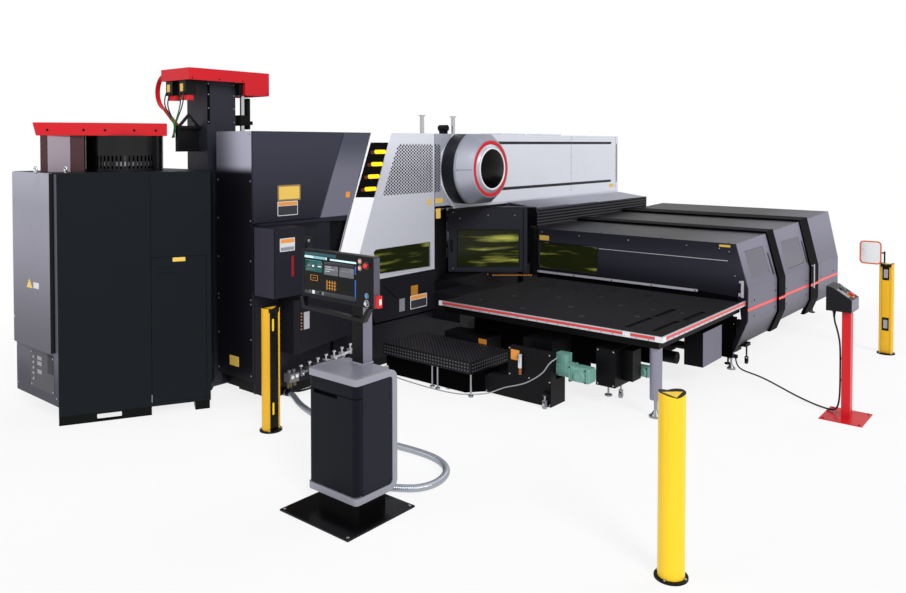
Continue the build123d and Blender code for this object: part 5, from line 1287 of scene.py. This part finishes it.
@dataclass
class Underneath:
    """What is below the table: step, conveyor plates, motors' details, sight glass and air unit parts."""

    step_front: float = -1150.0
    step_right: float = 1768.0

    def step(self) -> None:
        """Make the step's three rows of holes and its raised tread dots."""
        rows = (258, 291, 324)
        fasten(front_at(self.step_front), ("step_front_holes", STEP_HOLES, grid(range(584, 1750, 38), rows), 9, 2.5))
        fasten(side_at(self.step_right), ("step_side_holes", STEP_HOLES, grid(range(-1126, -520, 38), rows), 9, 2.5))
        fasten(top_at(352), ("step_tread_dots", TREAD, lattice(582, 1748, -1130, -530, 44, 22), 8, 3, 6))
        lay(front_at(-480), ("step_block_plate", PLATE_ORANGE, 1340, 1448, 300, 396, 2, 4))

    def conveyor(self) -> None:
        """Make the conveyor's plates, screws and oil glass."""
        seat = front_at(-930)
        lay(seat, ("conveyor_plate", PLATE_ORANGE, 2086, 2186, 396, 496, 2, 3))
        spots = [(2070, 250), (2530, 250), (2530, 30), (1790, 30), (2300, 250), (2070, 505), (2530, 505)]
        fasten(seat, ("conveyor_screws", SCREW, spots, 8, 4))
        for name, finish, profile in (
                ("oil_glass", OIL, [(12, 272), (16, 280), (16, 330), (12, 338)]),
                ("oil_glass_cap", CHROME, [(25, 338), (26, 346), (26, 452), (22, 466), (14, 473)])):
            piece(name, turned(top_at(0), 2212, -952, profile, 20), finish)
        spots = [(2834, 220), (3000, 220), (2834, 540), (3000, 540)]
        fasten(front_at(-560), ("side_case_screws", SCREW, spots, 8, 4))

    def aprons(self) -> None:
        """Make the sheet aprons that close the carcase, and the conveyor's low case under the step; their near-black
        coat also paints the deep shade under the table.
        """
        lay(front_at(10),
            ("table_apron_left", APRON_AND_SHADE, 905, 2440, 60, 644, 6, 3, 1),
            ("table_apron_middle", APRON_AND_SHADE, 2440, 2815, 215, 644, 6, 3, 1),
            ("table_apron_right", APRON_AND_SHADE, 2815, 3200, 330, 644, 6, 3, 1))
        lay(front_at(1376), ("table_apron_end", APRON_AND_SHADE, 2900, 3425, 150, 644, 6, 3, 1))
        plan = [(545, -1085), (1640, -1085), (1767, -932), (1767, -525), (545, -525)]
        piece("conveyor_low_case", plate(top_at(12), plan, 213, 4), APRON_AND_SHADE)

    def motor(self, number: int, x: float, y: float, z: float, top: float, s: float) -> None:
        """Make one gear motor: bell, ribbed body, terminal box, flange, gear case, boss and bolts.

        Args:
            number: its number.
            x, y, z: middle of its flange.
            top: height of its terminal box over its axis.
            s: its size, with the flange's radius 70 mm at one.
        """
        name = f"gear_motor_{number}_"
        axis = Seat((x, y, z), (0, 1, 0), (0, 0, 1))
        body = [(30, -46), (56, -44), (66, -36), (69, -22), (69, 0), (64, 4), (64, 196), (70, 200), (70, 212)]
        made = [piece(name + "body", turned(axis, 0, 0, [(r * s, h * s) for r, h in body], 40), GREEN)]
        rib = turned(axis, 0, 0, [(63 * s, 0), (69 * s, 1.5), (69 * s, 5.5), (63 * s, 7)], 32)
        piece(name + "ribs", repeat(rib, [((16 + 15.5 * i) * s, 0, 0) for i in range(11)]), GREEN)
        tall = top - 40 * s
        lay(Seat((x, y, z + 40 * s), (1, 0, 0), (0, 1, 0)),
            (name + "terminal_box", GREEN, 64 * s, 178 * s, -46 * s, 46 * s, tall - 6, 8, 2),
            (name + "box_lid", GREEN, 61 * s, 181 * s, -49 * s, 49 * s, 6, 9, 2, tall - 7))
        case = [(70, 208, 8), (73, 214, 20), (73, 226, 20), (66, 232, 24), (66, 392, 24), (60, 404, 24)]
        levels = [(rounded(-h * s, h * s, -h * s, h * s, r * s, 6), d * s) for h, d, r in case]
        made.append(piece(name + "case", ringed(Seat((x, y, z - 14 * s), axis.along, axis.up), levels), GREEN))
        boss = [(52, -2), (52, 10), (46, 16), (44, 26), (34, 28), (32, 24), (8, 24)]
        made.append(piece(name + "boss", turned(front_at(y - 65 * s), x + 318 * s, z - 18 * s,
                                                [(r * s, h * s) for r, h in boss], 36), GREEN))
        line_up(front_at(0), name + "case_fins", GREEN, (-4 * s, 4 * s, -58 * s, 58 * s, 9 * s, 2, 1),
                [(x + d * s, y - 66 * s, z - 14 * s) for d in (244, 388)])
        spots = [(x + d * s, z + h * s) for d, h in ((220, 46), (220, -74), (376, 38), (376, -66))]
        fasten(front_at(y - 72 * s), (name + "bolts", GREEN_BOLTS, spots, 9 * s, 5))
        for part in made:
            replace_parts(part, "gear_motors")

    def air_parts(self) -> None:
        """Make dials, knobs and pipe fittings on the air unit."""
        seat = side_at(408)
        for number, (y, z) in enumerate(((-2266, 206), (-2212, 210)), 1):
            piece(f"air_dial_{number}", turned(seat, y, z, [(22, 0), (22, 8), (18, 9)]), SCREW)
            piece(f"air_dial_face_{number}", turned(seat, y, z, [(17, 8), (17, 10), (2, 10.4)]), DIAL)
        rows = [(y, 196 + (y + 2190) * 100 / 790) for y in (-2120, -2010, -1900, -1790, -1680, -1570, -1450)]
        knob = turned(top_at(0), 0, 0, [(10, 0), (20, 3), (21, 14), (17, 20), (6, 22)], 14)
        piece("air_valve_knobs", repeat(knob, [(362, y, z + 64) for y, z in rows]), KNOBS)
        fitting = turned(side_at(0), 0, 0, [(12, 0), (14, 2), (14, 14), (9, 18)], 12)
        piece("air_fittings", repeat(fitting, [(390, y, z) for y, z in rows]), SCREW)
        pipe = np.array([(390, -2290, 110), (430, -2280, 70), (440, -2150, 52), (430, -1900, 60), (405, -1600, 140),
                         (395, -1470, 240)], float)
        smooth = np.array([np.interp(np.linspace(0, 5, 60), np.arange(6), line) for line in pipe.T])
        padded = np.pad(smooth, ((0, 0), (6, 6)), "edge")
        smooth = np.stack([np.convolve(line, np.ones(13) / 13, "valid") for line in padded], -1)
        piece("air_hose", tube(smooth, np.full(len(smooth), 11.0), 12), BLACK)

    def build(self) -> None:
        """Make all of it."""
        self.step()
        self.conveyor()
        self.aprons()
        self.motor(1, 2446, -746, 352, 153, 1.08)
        self.motor(2, 2872, -146, 306, 120 * 0.78, 0.78)
        self.air_parts()


@dataclass
class Console:
    """Operator console: fronts' lines and screws, the column's strip and the screen with its controls."""

    left: float = 2288.0
    right: float = 2776.0
    face: float = -3600.0
    pane: tuple = (2204.0, 2731.0, 1448.0, 1745.0)

    def case(self) -> None:
        """Make the case's screws, the top's plate and cap, and the rear's vents."""
        fasten(side_at(self.right - 6),
               ("console_side_screws", DARK_SCREW, grid((-3570, -3330), (760, 190)), 6, 3))
        top = top_at(950)
        lay(top,
            ("console_top_plate", CONSOLE_GREY, self.left + 26, self.right - 26, -3624, -3300, 1.6, 26, 0.6),
            ("console_column_foot", CONSOLE_GREY, 2418, 2560, -3382, -3270, 8, 10, 3, 1))
        piece("console_top_cap", turned(top, 2700, -3290, [(14, 0), (14, 5), (10, 7)], 20), CHROME)
        spots = [(2256, -3825), (2880, -3825), (2256, -3250), (2880, -3250)]
        fasten(top_at(12), ("console_floor_screws", SCREW, spots, 11, 6, 12))
        line_up(rear_at(0), "console_rear_vents", BLACK, (-150, 150, -5, 5, 4, 5, 1.5),
                [(2532, -3262, 300 + 24 * i) for i in range(9)])
        spots = [(-2330, 260), (-2734, 260), (-2330, 820), (-2734, 820)]
        fasten(rear_at(-3262), ("console_rear_screws", DARK_SCREW, spots, 7, 3))

    def fields(self, name: str, colour: str, glow: float, boxes: list[tuple[float, float, float, float]]) -> None:
        """Light some fields of the display.

        Args:
            name: what they are.
            colour: their sRGB hex colour.
            glow: how bright they are.
            boxes: left, right, low and high side of each, as shares of the pane.
        """
        left, right, low, high = self.pane
        wide, tall = right - left, high - low
        lit = Finish(name, colour, "screen_black", 0.2, surface=SMOOTH, tone=0.01, glow=glow)
        for number, (a0, a1, b0, b1) in enumerate(boxes):
            shape = slab(front_at(self.face), left + wide * a0, left + wide * a1, low + tall * b0, low + tall * b1,
                         0.7, 1, 0.2, -0.5 + 0.1 * (number % 3))
            piece(f"{name}_{number + 1}", shape, lit, "screen", 60)

    def display(self) -> None:
        """Make the lit fields of a generic display: bars, panels and plain line figures."""
        three, four = range(3), range(4)
        for row in (
                ("display_header", "#17414a", 0.5, [(0.0, 0.62, 0.93, 1.0)]),
                ("display_pale_bar", "#b8d8dc", 0.6, [(0.0, 0.44, 0.86, 0.915), (0.5, 0.99, 0.86, 0.90)]),
                ("display_teal", "#1d8f96", 0.5, [(0.17, 0.42, 0.865, 0.91), (0.02, 0.34, 0.80, 0.812)]),
                ("display_green_panel", "#0d4644", 0.5, [(0.01, 0.35, 0.55, 0.79)]),
                ("display_grey_panel", "#55575c", 0.45, [(0.385, 0.655, 0.52, 0.74), (0.675, 0.945, 0.52, 0.74)]),
                ("display_dark_bar", "#22252b", 0.3, [(0.385, 0.945, 0.76, 0.83), (0.0, 0.98, 0.02, 0.12)]),
                ("display_blue_edge", "#1c4fa8", 0.5, [(0.965, 0.985, 0.05, 0.50), (0.965, 0.985, 0.62, 0.8)]),
                ("display_keys", "#c8ccd2", 0.5, [(0.02 + 0.065 * i, 0.07 + 0.065 * i, 0.03, 0.11) for i in three]),
                ("display_key_row", "#6a6e75", 0.4, [(0.24 + 0.05 * i, 0.28 + 0.05 * i, 0.035, 0.105) for i in three]),
                ("display_figures", "#c98a24", 0.6,
                 [(0.12, 0.26, 0.46, 0.467), (0.12, 0.26, 0.34, 0.347), (0.12, 0.126, 0.34, 0.46),
                  (0.254, 0.26, 0.34, 0.46), (0.16, 0.22, 0.40, 0.407)]
                 + [(0.44 + 0.05 * i, 0.448 + 0.05 * i, 0.17, 0.40) for i in four]
                 + [(0.42, 0.62, 0.21 + 0.07 * i, 0.217 + 0.07 * i) for i in three]),
                ("display_marks", "#d8dde2", 0.5,
                 [(0.06, 0.10, 0.66, 0.70), (0.15, 0.19, 0.66, 0.70), (0.26, 0.33, 0.67, 0.69),
                  (0.06, 0.2, 0.60, 0.61), (0.41, 0.52, 0.70, 0.708), (0.41, 0.58, 0.65, 0.658),
                  (0.70, 0.82, 0.70, 0.708), (0.70, 0.86, 0.65, 0.658), (0.41, 0.50, 0.60, 0.608),
                  (0.70, 0.78, 0.60, 0.608)])):
            self.fields(*row)

    def controls(self) -> None:
        """Make the turned controls in place of the plain ones, and the ring round each."""
        seat, button = front_at(self.face), [(11.5, -16), (11.5, 7), (10, 9.5), (3, 10.5)]
        blue = [(11, -16), (11, 7), (9, 9), (3, 10)]
        stop = [(14, -16), (14, 6), (16, 8), (18, 13), (18, 19), (15, 23.5), (4, 24)]
        knob = [(15, -16), (15, 6), (13, 17), (9, 20), (2, 20.5)]
        for node, x, z, profile, finish, ring, wide, hole, steel in (
                ("console_start_button", 2763, 1726, button, PEACH, "button_ring_1", 18, 14.5, SCREW),
                ("console_stop_button", 2763, 1681, button, PEACH, "button_ring_2", 18, 14.5, SCREW),
                ("console_reset_button", 2826, 1505, blue, BLUE, "button_ring_3", 18, 14.5, SCREW),
                ("console_estop", 2826, 1703, stop, STOP_RED, "estop_ring", 27, 16, PLATE_DARK),
                ("console_selector", 2826, 1455, knob, CHROME, "selector_ring", 24, 17.5, SCREW)):
            made = piece(node + "_cap", turned(seat, x, z, profile, 28), finish, node)
            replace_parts(made, node)
            piece(ring, surround(seat, circle(x, z, wide), circle(x, z, hole), 3, -0.5), steel, "screen")

    def screen(self) -> None:
        """Make the bezel, the marks on the red holder's face, and the rear's vents and screws."""
        outer, inner = rounded(2184, 2886, 1429, 1758, 9), rounded(2200, 2735, 1445, 1748, 3)
        piece("screen_bezel", surround(front_at(self.face), outer, inner, 1.5, -0.6), BEZEL, "screen")
        lay(side_at(2922), ("holder_marks", HOLDER, self.face + 18, self.face + 38, 1452, 1490, 1.2, 3, 0.4),
            body="screen")
        line_up(rear_at(0), "screen_rear_vents", GAP, (-4, 4, -34, 34, 2, 4, 0.8),
                [(2380 + 22 * i, -3545, 1690) for i in range(14)], "screen")
        spots = [(-2210, 1450), (-2860, 1450), (-2210, 1740), (-2860, 1740)]
        fasten(rear_at(-3545), ("screen_rear_screws", SCREW, spots, 6, 3), body="screen")

    def build(self) -> None:
        """Make all of it."""
        self.case()
        self.display()
        self.screen()
        self.controls()


@dataclass
class SafetyPosts:
    """Light-curtain posts: a rounded yellow back, a black window, a saddle-shaped cap and a flange."""

    radius: float = 78.0
    height: float = 1080.0
    left: Pair = (950.0, -2940.0)
    rear: Pair = (4556.0, 3294.0)

    def section(self, radius: float) -> np.ndarray:
        """Section of the back: an arc from one cheek round the back to the other, closed by flat lips.

        Args:
            radius: radius of the arc.

        Returns:
            Points x 2 about the post's axis.
        """
        start = math.acos(20 / radius)
        angle = np.linspace(start, 2 * math.pi - start, 40)
        arc = np.column_stack([radius * np.cos(angle), radius * np.sin(angle)])
        lips = np.array([(50, -62), (50, -45), (18, -45), (18, 45), (50, 45), (50, 62)], float)
        return np.concatenate([arc, lips])

    def rim(self, points: np.ndarray) -> np.ndarray:
        """Height of the cap's top: it rises with the distance to the post's middle plane."""
        return self.height - np.clip(17 - np.abs(points[:, 1]) * 0.24, 0, 17)

    def post(self, key: str, place: Pair, turn: float, coat: Finish, window: Finish) -> None:
        """Make one post.

        Args:
            key: name of its place.
            place: x and y on the floor.
            turn: the way that its window looks, in degrees from +X.
            coat: finish of its back.
            window: finish of what the light beams pass.
        """
        c, s = math.cos(math.radians(turn)), math.sin(math.radians(turn))
        seat, lifted = (Seat((*place, z), (c, s, 0), (-s, c, 0)) for z in (0, 14))
        outline = self.section(self.radius)
        ring = circle(0, 0, self.radius, 48)
        under, inner, tip = ring * 0.97, ring * 0.6, ring * 0.06
        cap = [(under, self.height - 40), (under, self.rim(under) - 6), (ring, self.rim(ring) - 3),
               (ring, self.rim(ring)), (inner, self.rim(inner)), (tip, self.rim(tip))]
        for name, shape, finish in (
                ("back", ringed(seat, [(outline, 14), (outline, self.rim(outline) - 3)]), coat),
                ("window", slab(seat, 20, 50, -43, 43, self.height - 36, 3, 1, 15), window),
                ("cap", ringed(seat, cap), BLACK),
                ("flange", turned(seat, 0, 0, [(98, 0), (98, 11), (94, 14), (60, 14.5)], 48), BLACK)):
            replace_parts(piece(f"post_{name}_{key}", shape, finish), "safety_posts")
        bolts = [(86 * math.cos(t), 86 * math.sin(t)) for t in (0.8, 2.36, 3.93, 5.5)]
        fasten(lifted, (f"post_bolts_{key}", SCREW, bolts, 9, 8, 6))

    def build(self) -> None:
        """Make the three posts, the plates in two windows and the mirror's arm."""
        # The left and rear posts, and the rear post's window face, take the darker yellow as painted shade.
        self.post("left", self.left, 0, SHADED_YELLOW, BEAM_WINDOW)
        self.post("corner", (4635, -2932), 135, YELLOW, BEAM_WINDOW)
        self.post("rear", self.rear, -90, SHADED_YELLOW, SHADED_YELLOW)
        x, y = self.rear[0], self.rear[1] - 30
        piece("mirror_post", tube([(x - 20, y, z) for z in (1079, 1140, 1219)], [9, 9, 9], 14), BLACK)
        piece("mirror_bar", tube([(end, y, 1200) for end in (x - 12, 4480, 4404)], [9, 9, 9], 14), BLACK)
        lay(side_at(4404), ("mirror_bracket", BLACK, 3240, 3274, 1188, 1212, 10, 3, 1))
        window = Seat((self.left[0] + 50.5, self.left[1], 0), (0, 1, 0), (0, 0, 1))
        rear = front_at(self.rear[1] - 50.5)
        for number, (a, b) in enumerate(((930, 960), (200, 360)), 1):
            lay(window, (f"left_post_plate_{number}", YELLOW, -22, -2, a - 52, a + 52, 1.5, 3, 0.5))
            lay(rear, (f"rear_post_frame_{number}", BLACK, x - 36, x + 36, b - 78, b + 78, 1.5, 4, 0.5),
                (f"rear_post_glimpse_{number}", GLIMPSE, x - 22, x + 22, b - 50, b + 50, 2.2, 4, 0.5))


@dataclass
class Mirror:
    """Safety mirror: an orange rim round a flat pane, whose matt grey is painted reflection."""

    x: float = 4393.0
    y: float = 3236.0
    z: float = 1200.0

    def build(self) -> None:
        """Make the rim, the pane in it and the lug behind it."""
        seat, behind = (Seat((self.x, self.y + shift, self.z), (1, 0, 0), (0, 0, 1)) for shift in (-6, 16))
        outer, inner = rounded(-118, 118, -138, 138, 46, 8), rounded(-104, 104, -124, 124, 34, 8)
        for name, shape, finish in (
                ("mirror_rim", surround(seat, outer, inner, 16), MIRROR_RIM),
                ("mirror_back", slab(seat, -112, 112, -132, 132, 5, 40, 1, 0.2), BLACK),
                ("mirror_pane", plate(seat, inner * 0.995, 3.5, 0.6, 5), MIRROR_PANE),
                ("mirror_lug", slab(behind, -10, 10, -10, 10, 22, 3, 1), BLACK)):
            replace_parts(piece(name, shape, finish, "mirror"), "mirror")


@dataclass
class Station:
    """Push-button stand: buttons on the slanted top, their rings, floor screws and clips."""

    slope: float = (1194 - 1090) / (4805 - 4640)

    def seat(self, x: float, y: float) -> Seat:
        """Seat on the slanted top at a place."""
        angle = math.atan(self.slope)
        return Seat((x, y, 1194 - (x - 4640) * self.slope), (math.cos(angle), 0, -math.sin(angle)), (0, 1, 0))

    def build(self) -> None:
        """Make the controls and small parts."""
        button, stop = self.seat(4684, 700), self.seat(4762, 640)
        made = piece("station_button_cap", turned(button, 0, 0, [(14.5, -15), (14.5, 9), (12, 12), (3, 13)]),
                     BUTTON_GREEN, "station_button")
        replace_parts(made, "station_button")
        profile = [(19, -15), (19, 7), (25, 9), (27, 14), (27, 20), (22, 24.5), (6, 25)]
        made = piece("station_estop_cap", turned(stop, 0, 0, profile, 28), MUSHROOM_RED, "station_estop")
        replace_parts(made, "station_estop")
        for name, seat, size, finish in (("station_estop_ring", stop, 1.0, PLATE_ORANGE),
                                         ("station_button_ring", button, 0.62, SCREW)):
            ring = [(24 * size, -0.5), (38 * size, -0.5), (38 * size, 2.5), (24 * size, 2.5)]
            piece(name, turned(seat, 0, 0, ring, 28, True), finish)
        lay(self.seat(4722, 560), ("station_plate", PLATE_GREY, -60, 60, -40, 30, 1.5, 4, 0.5))
        switch = [(17, -0.5), (17, 8), (12, 14), (3, 15)]
        piece("station_switch", turned(self.seat(4684, 600), 0, 0, switch, 20), BLACK)
        spots = [(4590, 430), (4890, 430), (4590, 790), (4890, 790)]
        fasten(top_at(8), ("station_floor_screws", DARK_SCREW, spots, 10, 5, 10))
        spots = [(520, 1000), (740, 1000), (520, 1070), (740, 1070)]
        fasten(side_at(4805), ("station_side_screws", DARK_SCREW, spots, 5, 2))


@dataclass
class Cords:
    """The hose of the console and the two cables, each on one smooth line through its given points."""

    hose: tuple = ((2560, -3228, 46), (2680, -3135, 36), (2788, -3030, 30), (2821, -2860, 29), (2740, -2665, 29),
                   (2560, -2555, 29), (2334, -2535, 29), (2040, -2566, 29), (1700, -2592, 29), (1330, -2566, 29),
                   (1010, -2502, 29), (698, -2408, 31), (520, -2322, 37), (405, -2268, 40), (335, -2268, 40))
    station: tuple = ((4635, 600, 944), (4635, 600, 880), (4660, 602, 800), (4684, 606, 690), (4688, 612, 560),
                      (4688, 614, 420), (4688, 614, 280), (4684, 616, 150), (4660, 630, 50), (4598, 668, 20),
                      (4470, 742, 11), (4330, 842, 8.5), (4180, 960, 8.5), (4002, 1123, 8.5), (3830, 1276, 8.5),
                      (3680, 1384, 8.5), (3560, 1440, 9), (3480, 1464, 20), (3428, 1472, 66), (3420, 1472, 130))
    conveyor: tuple = ((2530, -805, 476), (2560, -840, 474), (2570, -890, 470), (2552, -938, 452),
                       (2515, -944, 406), (2482, -941, 352), (2425, -940, 300), (2345, -939, 243), (2250, -938, 188),
                       (2140, -938, 146), (2020, -938, 106), (1930, -944, 62), (1850, -975, 22), (1770, -1034, 9),
                       (1690, -1100, 7), (1600, -1150, 7), (1470, -1176, 7), (1310, -1182, 7), (1150, -1178, 7),
                       (980, -1166, 7), (810, -1148, 7), (650, -1118, 8), (500, -1072, 12), (405, -1050, 16),
                       (330, -1050, 16))
    pace: float = 3.5  # mm between points of a path

    def line(self, name: str, points: tuple, bevel: float) -> bpy.types.Object:
        """Make a smooth curve through the control points.

        Args:
            name: its name.
            points: control points in mm.
            bevel: radius of its round skin in mm, or none for the bare line.

        Returns:
            The curve's object.
        """
        data = bpy.data.curves.new(name, "CURVE")
        data.dimensions = "3D"
        data.resolution_u = 12
        spline = data.splines.new("NURBS")
        spline.points.add(len(points) - 1)
        places = np.column_stack([to_metres(points), np.ones(len(points))])
        spline.points.foreach_set("co", places.ravel())
        spline.order_u = 3
        spline.use_endpoint_u = True
        data.bevel_depth = bevel * MM
        data.bevel_resolution = 4
        data.use_fill_caps = bevel > 0
        made = bpy.data.objects.new(name, data)
        bpy.context.collection.objects.link(made)
        return made

    def path(self, points: tuple) -> np.ndarray:
        """Points of the smooth line in mm, evenly spaced by the pace.

        Args:
            points: control points in mm.

        Returns:
            Points x 3.
        """
        bare = self.line("path_line", points, 0.0)
        bpy.context.view_layer.update()
        mesh = bpy.data.meshes.new_from_object(bare)
        raw = np.empty(len(mesh.vertices) * 3)
        mesh.vertices.foreach_get("co", raw)
        bpy.data.objects.remove(bare)
        bpy.data.meshes.remove(mesh)
        raw = raw.reshape(-1, 3) / MM
        run = np.concatenate([[0], np.cumsum(np.linalg.norm(np.diff(raw, axis=0), axis=1))])
        even = np.append(np.arange(0, run[-1], self.pace), run[-1])
        return np.stack([np.interp(even, run, raw[:, i]) for i in range(3)], -1)

    def length(self, path: np.ndarray) -> float:
        """Length of a path in metres."""
        return float(np.linalg.norm(np.diff(path, axis=0), axis=1).sum() * MM)

    def build(self) -> None:
        """Make the three cords and their sleeves."""
        path = self.path(self.hose)
        run = self.pace * np.arange(len(path))
        radius = 26.6 + 1.4 * np.cos(2 * math.pi * run / 14.0)
        hose = piece("console_hose_skin", tube(path, radius, 18), HOSE_STEEL, sharp=80)
        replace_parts(hose, "console_hose")
        length = self.length(path)
        LOG.info("hose length %.3f", length)
        for name, points, wide, finish, node in (
                ("station_cable_skin", self.station, 16.0, RUBBER, "station_cable"),
                ("conveyor_cable_skin", self.conveyor, 12.0, GREY_SHEATH, "conveyor_cable")):
            length = self.length(self.path(points))
            cable = self.line(name, points, wide / 2)
            cable.data.materials.append(finish.material())
            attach(cable, "machine")
            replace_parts(cable, node)
            LOG.info("%s length %.3f", name, length)
        gland = turned(Seat((4635, 600, 0), (1, 0, 0), (0, -1, 0)), 0, 0,
                       [(13.5, -968), (15, -960), (15, -950), (12, -944), (9.5, -915), (8.2, -900)], 20)
        piece("station_cable_sleeve", gland, BLACK)
        cuff = tube([(405, -2268, 40), (370, -2268, 40), (330, -2268, 40)], [29, 31, 36], 20)
        piece("console_hose_cuff", cuff, BLACK)
        first, second = np.array(self.hose[0], float), np.array(self.hose[1], float)
        way = (second - first) / np.linalg.norm(second - first)
        collar = tube([first - way * 40, first, first + way * 36], [35, 34, 30], 20)
        piece("console_hose_collar", collar, SCREW)


@dataclass
class Studio:
    """Camera at the photograph's viewing angle, soft light, and a floor that fades to white."""

    eye: Triple = (6525.0, -7200.0, 2500.0)
    heading: float = 39.52
    fall: float = 1.368
    lens: float = 31.35
    shift: float = -0.148
    middle: Triple = (1.6, 0.0, 0.0)  # of the shadowed floor, in metres
    reach: Pair = (5.6, 8.4)  # where the floor starts to fade and where it is white, in metres
    floor_size: float = 60000.0
    floor_level: float = -0.6

    def camera(self) -> None:
        """Place the camera."""
        data = bpy.data.cameras.new("view")
        data.lens = self.lens
        data.sensor_width = 36
        data.shift_y = self.shift
        data.clip_end = 200
        view = bpy.data.objects.new("view", data)
        view.location = to_metres(self.eye).tolist()
        view.rotation_euler = (math.radians(90 - self.fall), 0, math.radians(self.heading))
        bpy.context.collection.objects.link(view)
        bpy.context.scene.camera = view

    def lamp(self, name: str, toward: Triple, power: float, spread: float) -> None:
        """Add a soft sun that shines from a direction.

        Args:
            name: its name.
            toward: the way to it.
            power: its strength.
            spread: its width in degrees.
        """
        data = bpy.data.lights.new(name, "SUN")
        data.energy = power
        data.angle = math.radians(spread)
        sun = bpy.data.objects.new(name, data)
        way = np.array(toward) / np.linalg.norm(toward)
        sun.rotation_euler = (math.acos(way[2]), 0, math.atan2(way[1], way[0]) + math.pi / 2)
        bpy.context.collection.objects.link(sun)

    def world(self) -> None:
        """Light the object evenly, and show white to the camera, gloss and glass."""
        world = bpy.data.worlds.new("studio")
        bpy.context.scene.world = world
        world.use_nodes = True
        tree = world.node_tree
        tree.nodes.clear()
        rays = add_node(tree, "LightPath").outputs
        gloss = add_node(tree, "Math", {0: rays["Is Glossy Ray"], 1: rays["Is Transmission Ray"]},
                         operation="MAXIMUM")
        ambient, soft, white = (add_node(tree, "Background", {"Color": linear(colour), "Strength": power})
                                for colour, power in (("#f4f6ff", 0.4), ("#ffffff", 0.7), ("#ffffff", 1.0)))
        shiny = add_node(tree, "MixShader", {0: gloss, 1: ambient, 2: soft})
        seen = add_node(tree, "MixShader", {0: rays["Is Camera Ray"], 1: shiny, 2: white})
        add_node(tree, "OutputWorld", {0: seen})

    def floor(self) -> None:
        """Lay the floor: it takes the shadow near the machine and is plain white further out."""
        mesh = bpy.data.meshes.new("floor")
        corners = [(a * self.floor_size, b * self.floor_size, self.floor_level)
                   for a, b in ((-1, -1), (1, -1), (1, 1), (-1, 1))]
        mesh.from_pydata(to_metres(corners).tolist(), [], [(0, 1, 2, 3)])
        made = bpy.data.objects.new("floor", mesh)
        bpy.context.collection.objects.link(made)
        mat = bpy.data.materials.new("studio_floor")
        mat.use_nodes = True
        tree = mat.node_tree
        tree.nodes.clear()
        place = add_node(tree, "TexCoord").outputs["Object"]
        reach = add_node(tree, "VectorMath", {0: place, 1: self.middle}, operation="DISTANCE").outputs["Value"]
        ramp = add_node(tree, "MapRange", {0: reach, 1: self.reach[0], 2: self.reach[1]},
                        interpolation_type="SMOOTHSTEP")
        grain = add_node(tree, "TexNoise", {"Vector": place, "Scale": 3.0})
        tint = add_node(tree, "Mix", {0: grain, 6: linear("#f3f3f3"), 7: linear("#f6f6f6")}, data_type="RGBA")
        matt = add_node(tree, "BsdfDiffuse", {"Color": tint.outputs[2]})
        white = add_node(tree, "Emission", {"Color": linear("#ffffff"), "Strength": 1.0})
        near = add_node(tree, "MapRange", {0: ramp, 3: 0.82, 4: 1.0})
        both = add_node(tree, "MixShader", {0: near, 1: matt, 2: white})
        add_node(tree, "OutputMaterial", {0: both})
        mesh.materials.append(mat)

    def build(self) -> None:
        """Set up the view, the lights and the floor."""
        self.camera()
        self.world()
        self.lamp("key", (0.86, -0.42, 0.62), 1.95, 22)
        self.lamp("fill", (-0.5, -0.75, 0.5), 0.7, 40)
        self.lamp("back", (0.3, 0.85, 0.8), 0.6, 40)
        self.floor()
        bpy.context.scene.view_settings.view_transform = "Standard"


def main() -> None:
    """Build the studio, the cords and each sub-assembly in order."""
    logging.basicConfig(level=logging.INFO, format="%(message)s")
    for part in (Studio(), Cords(), Paintwork(), Magazine(), ToolLift(), FrameCovers(), DriveDrum(), UpperArm(),
                 Enclosure(), CornerDoor(), LoadingTable(), Underneath(), Console(), SafetyPosts(), Mirror(),
                 Station()):
        LOG.info("building %s", type(part).__name__)
        part.build()


if __name__ == "__main__":
    main()
    bpy.context.view_layer.update()
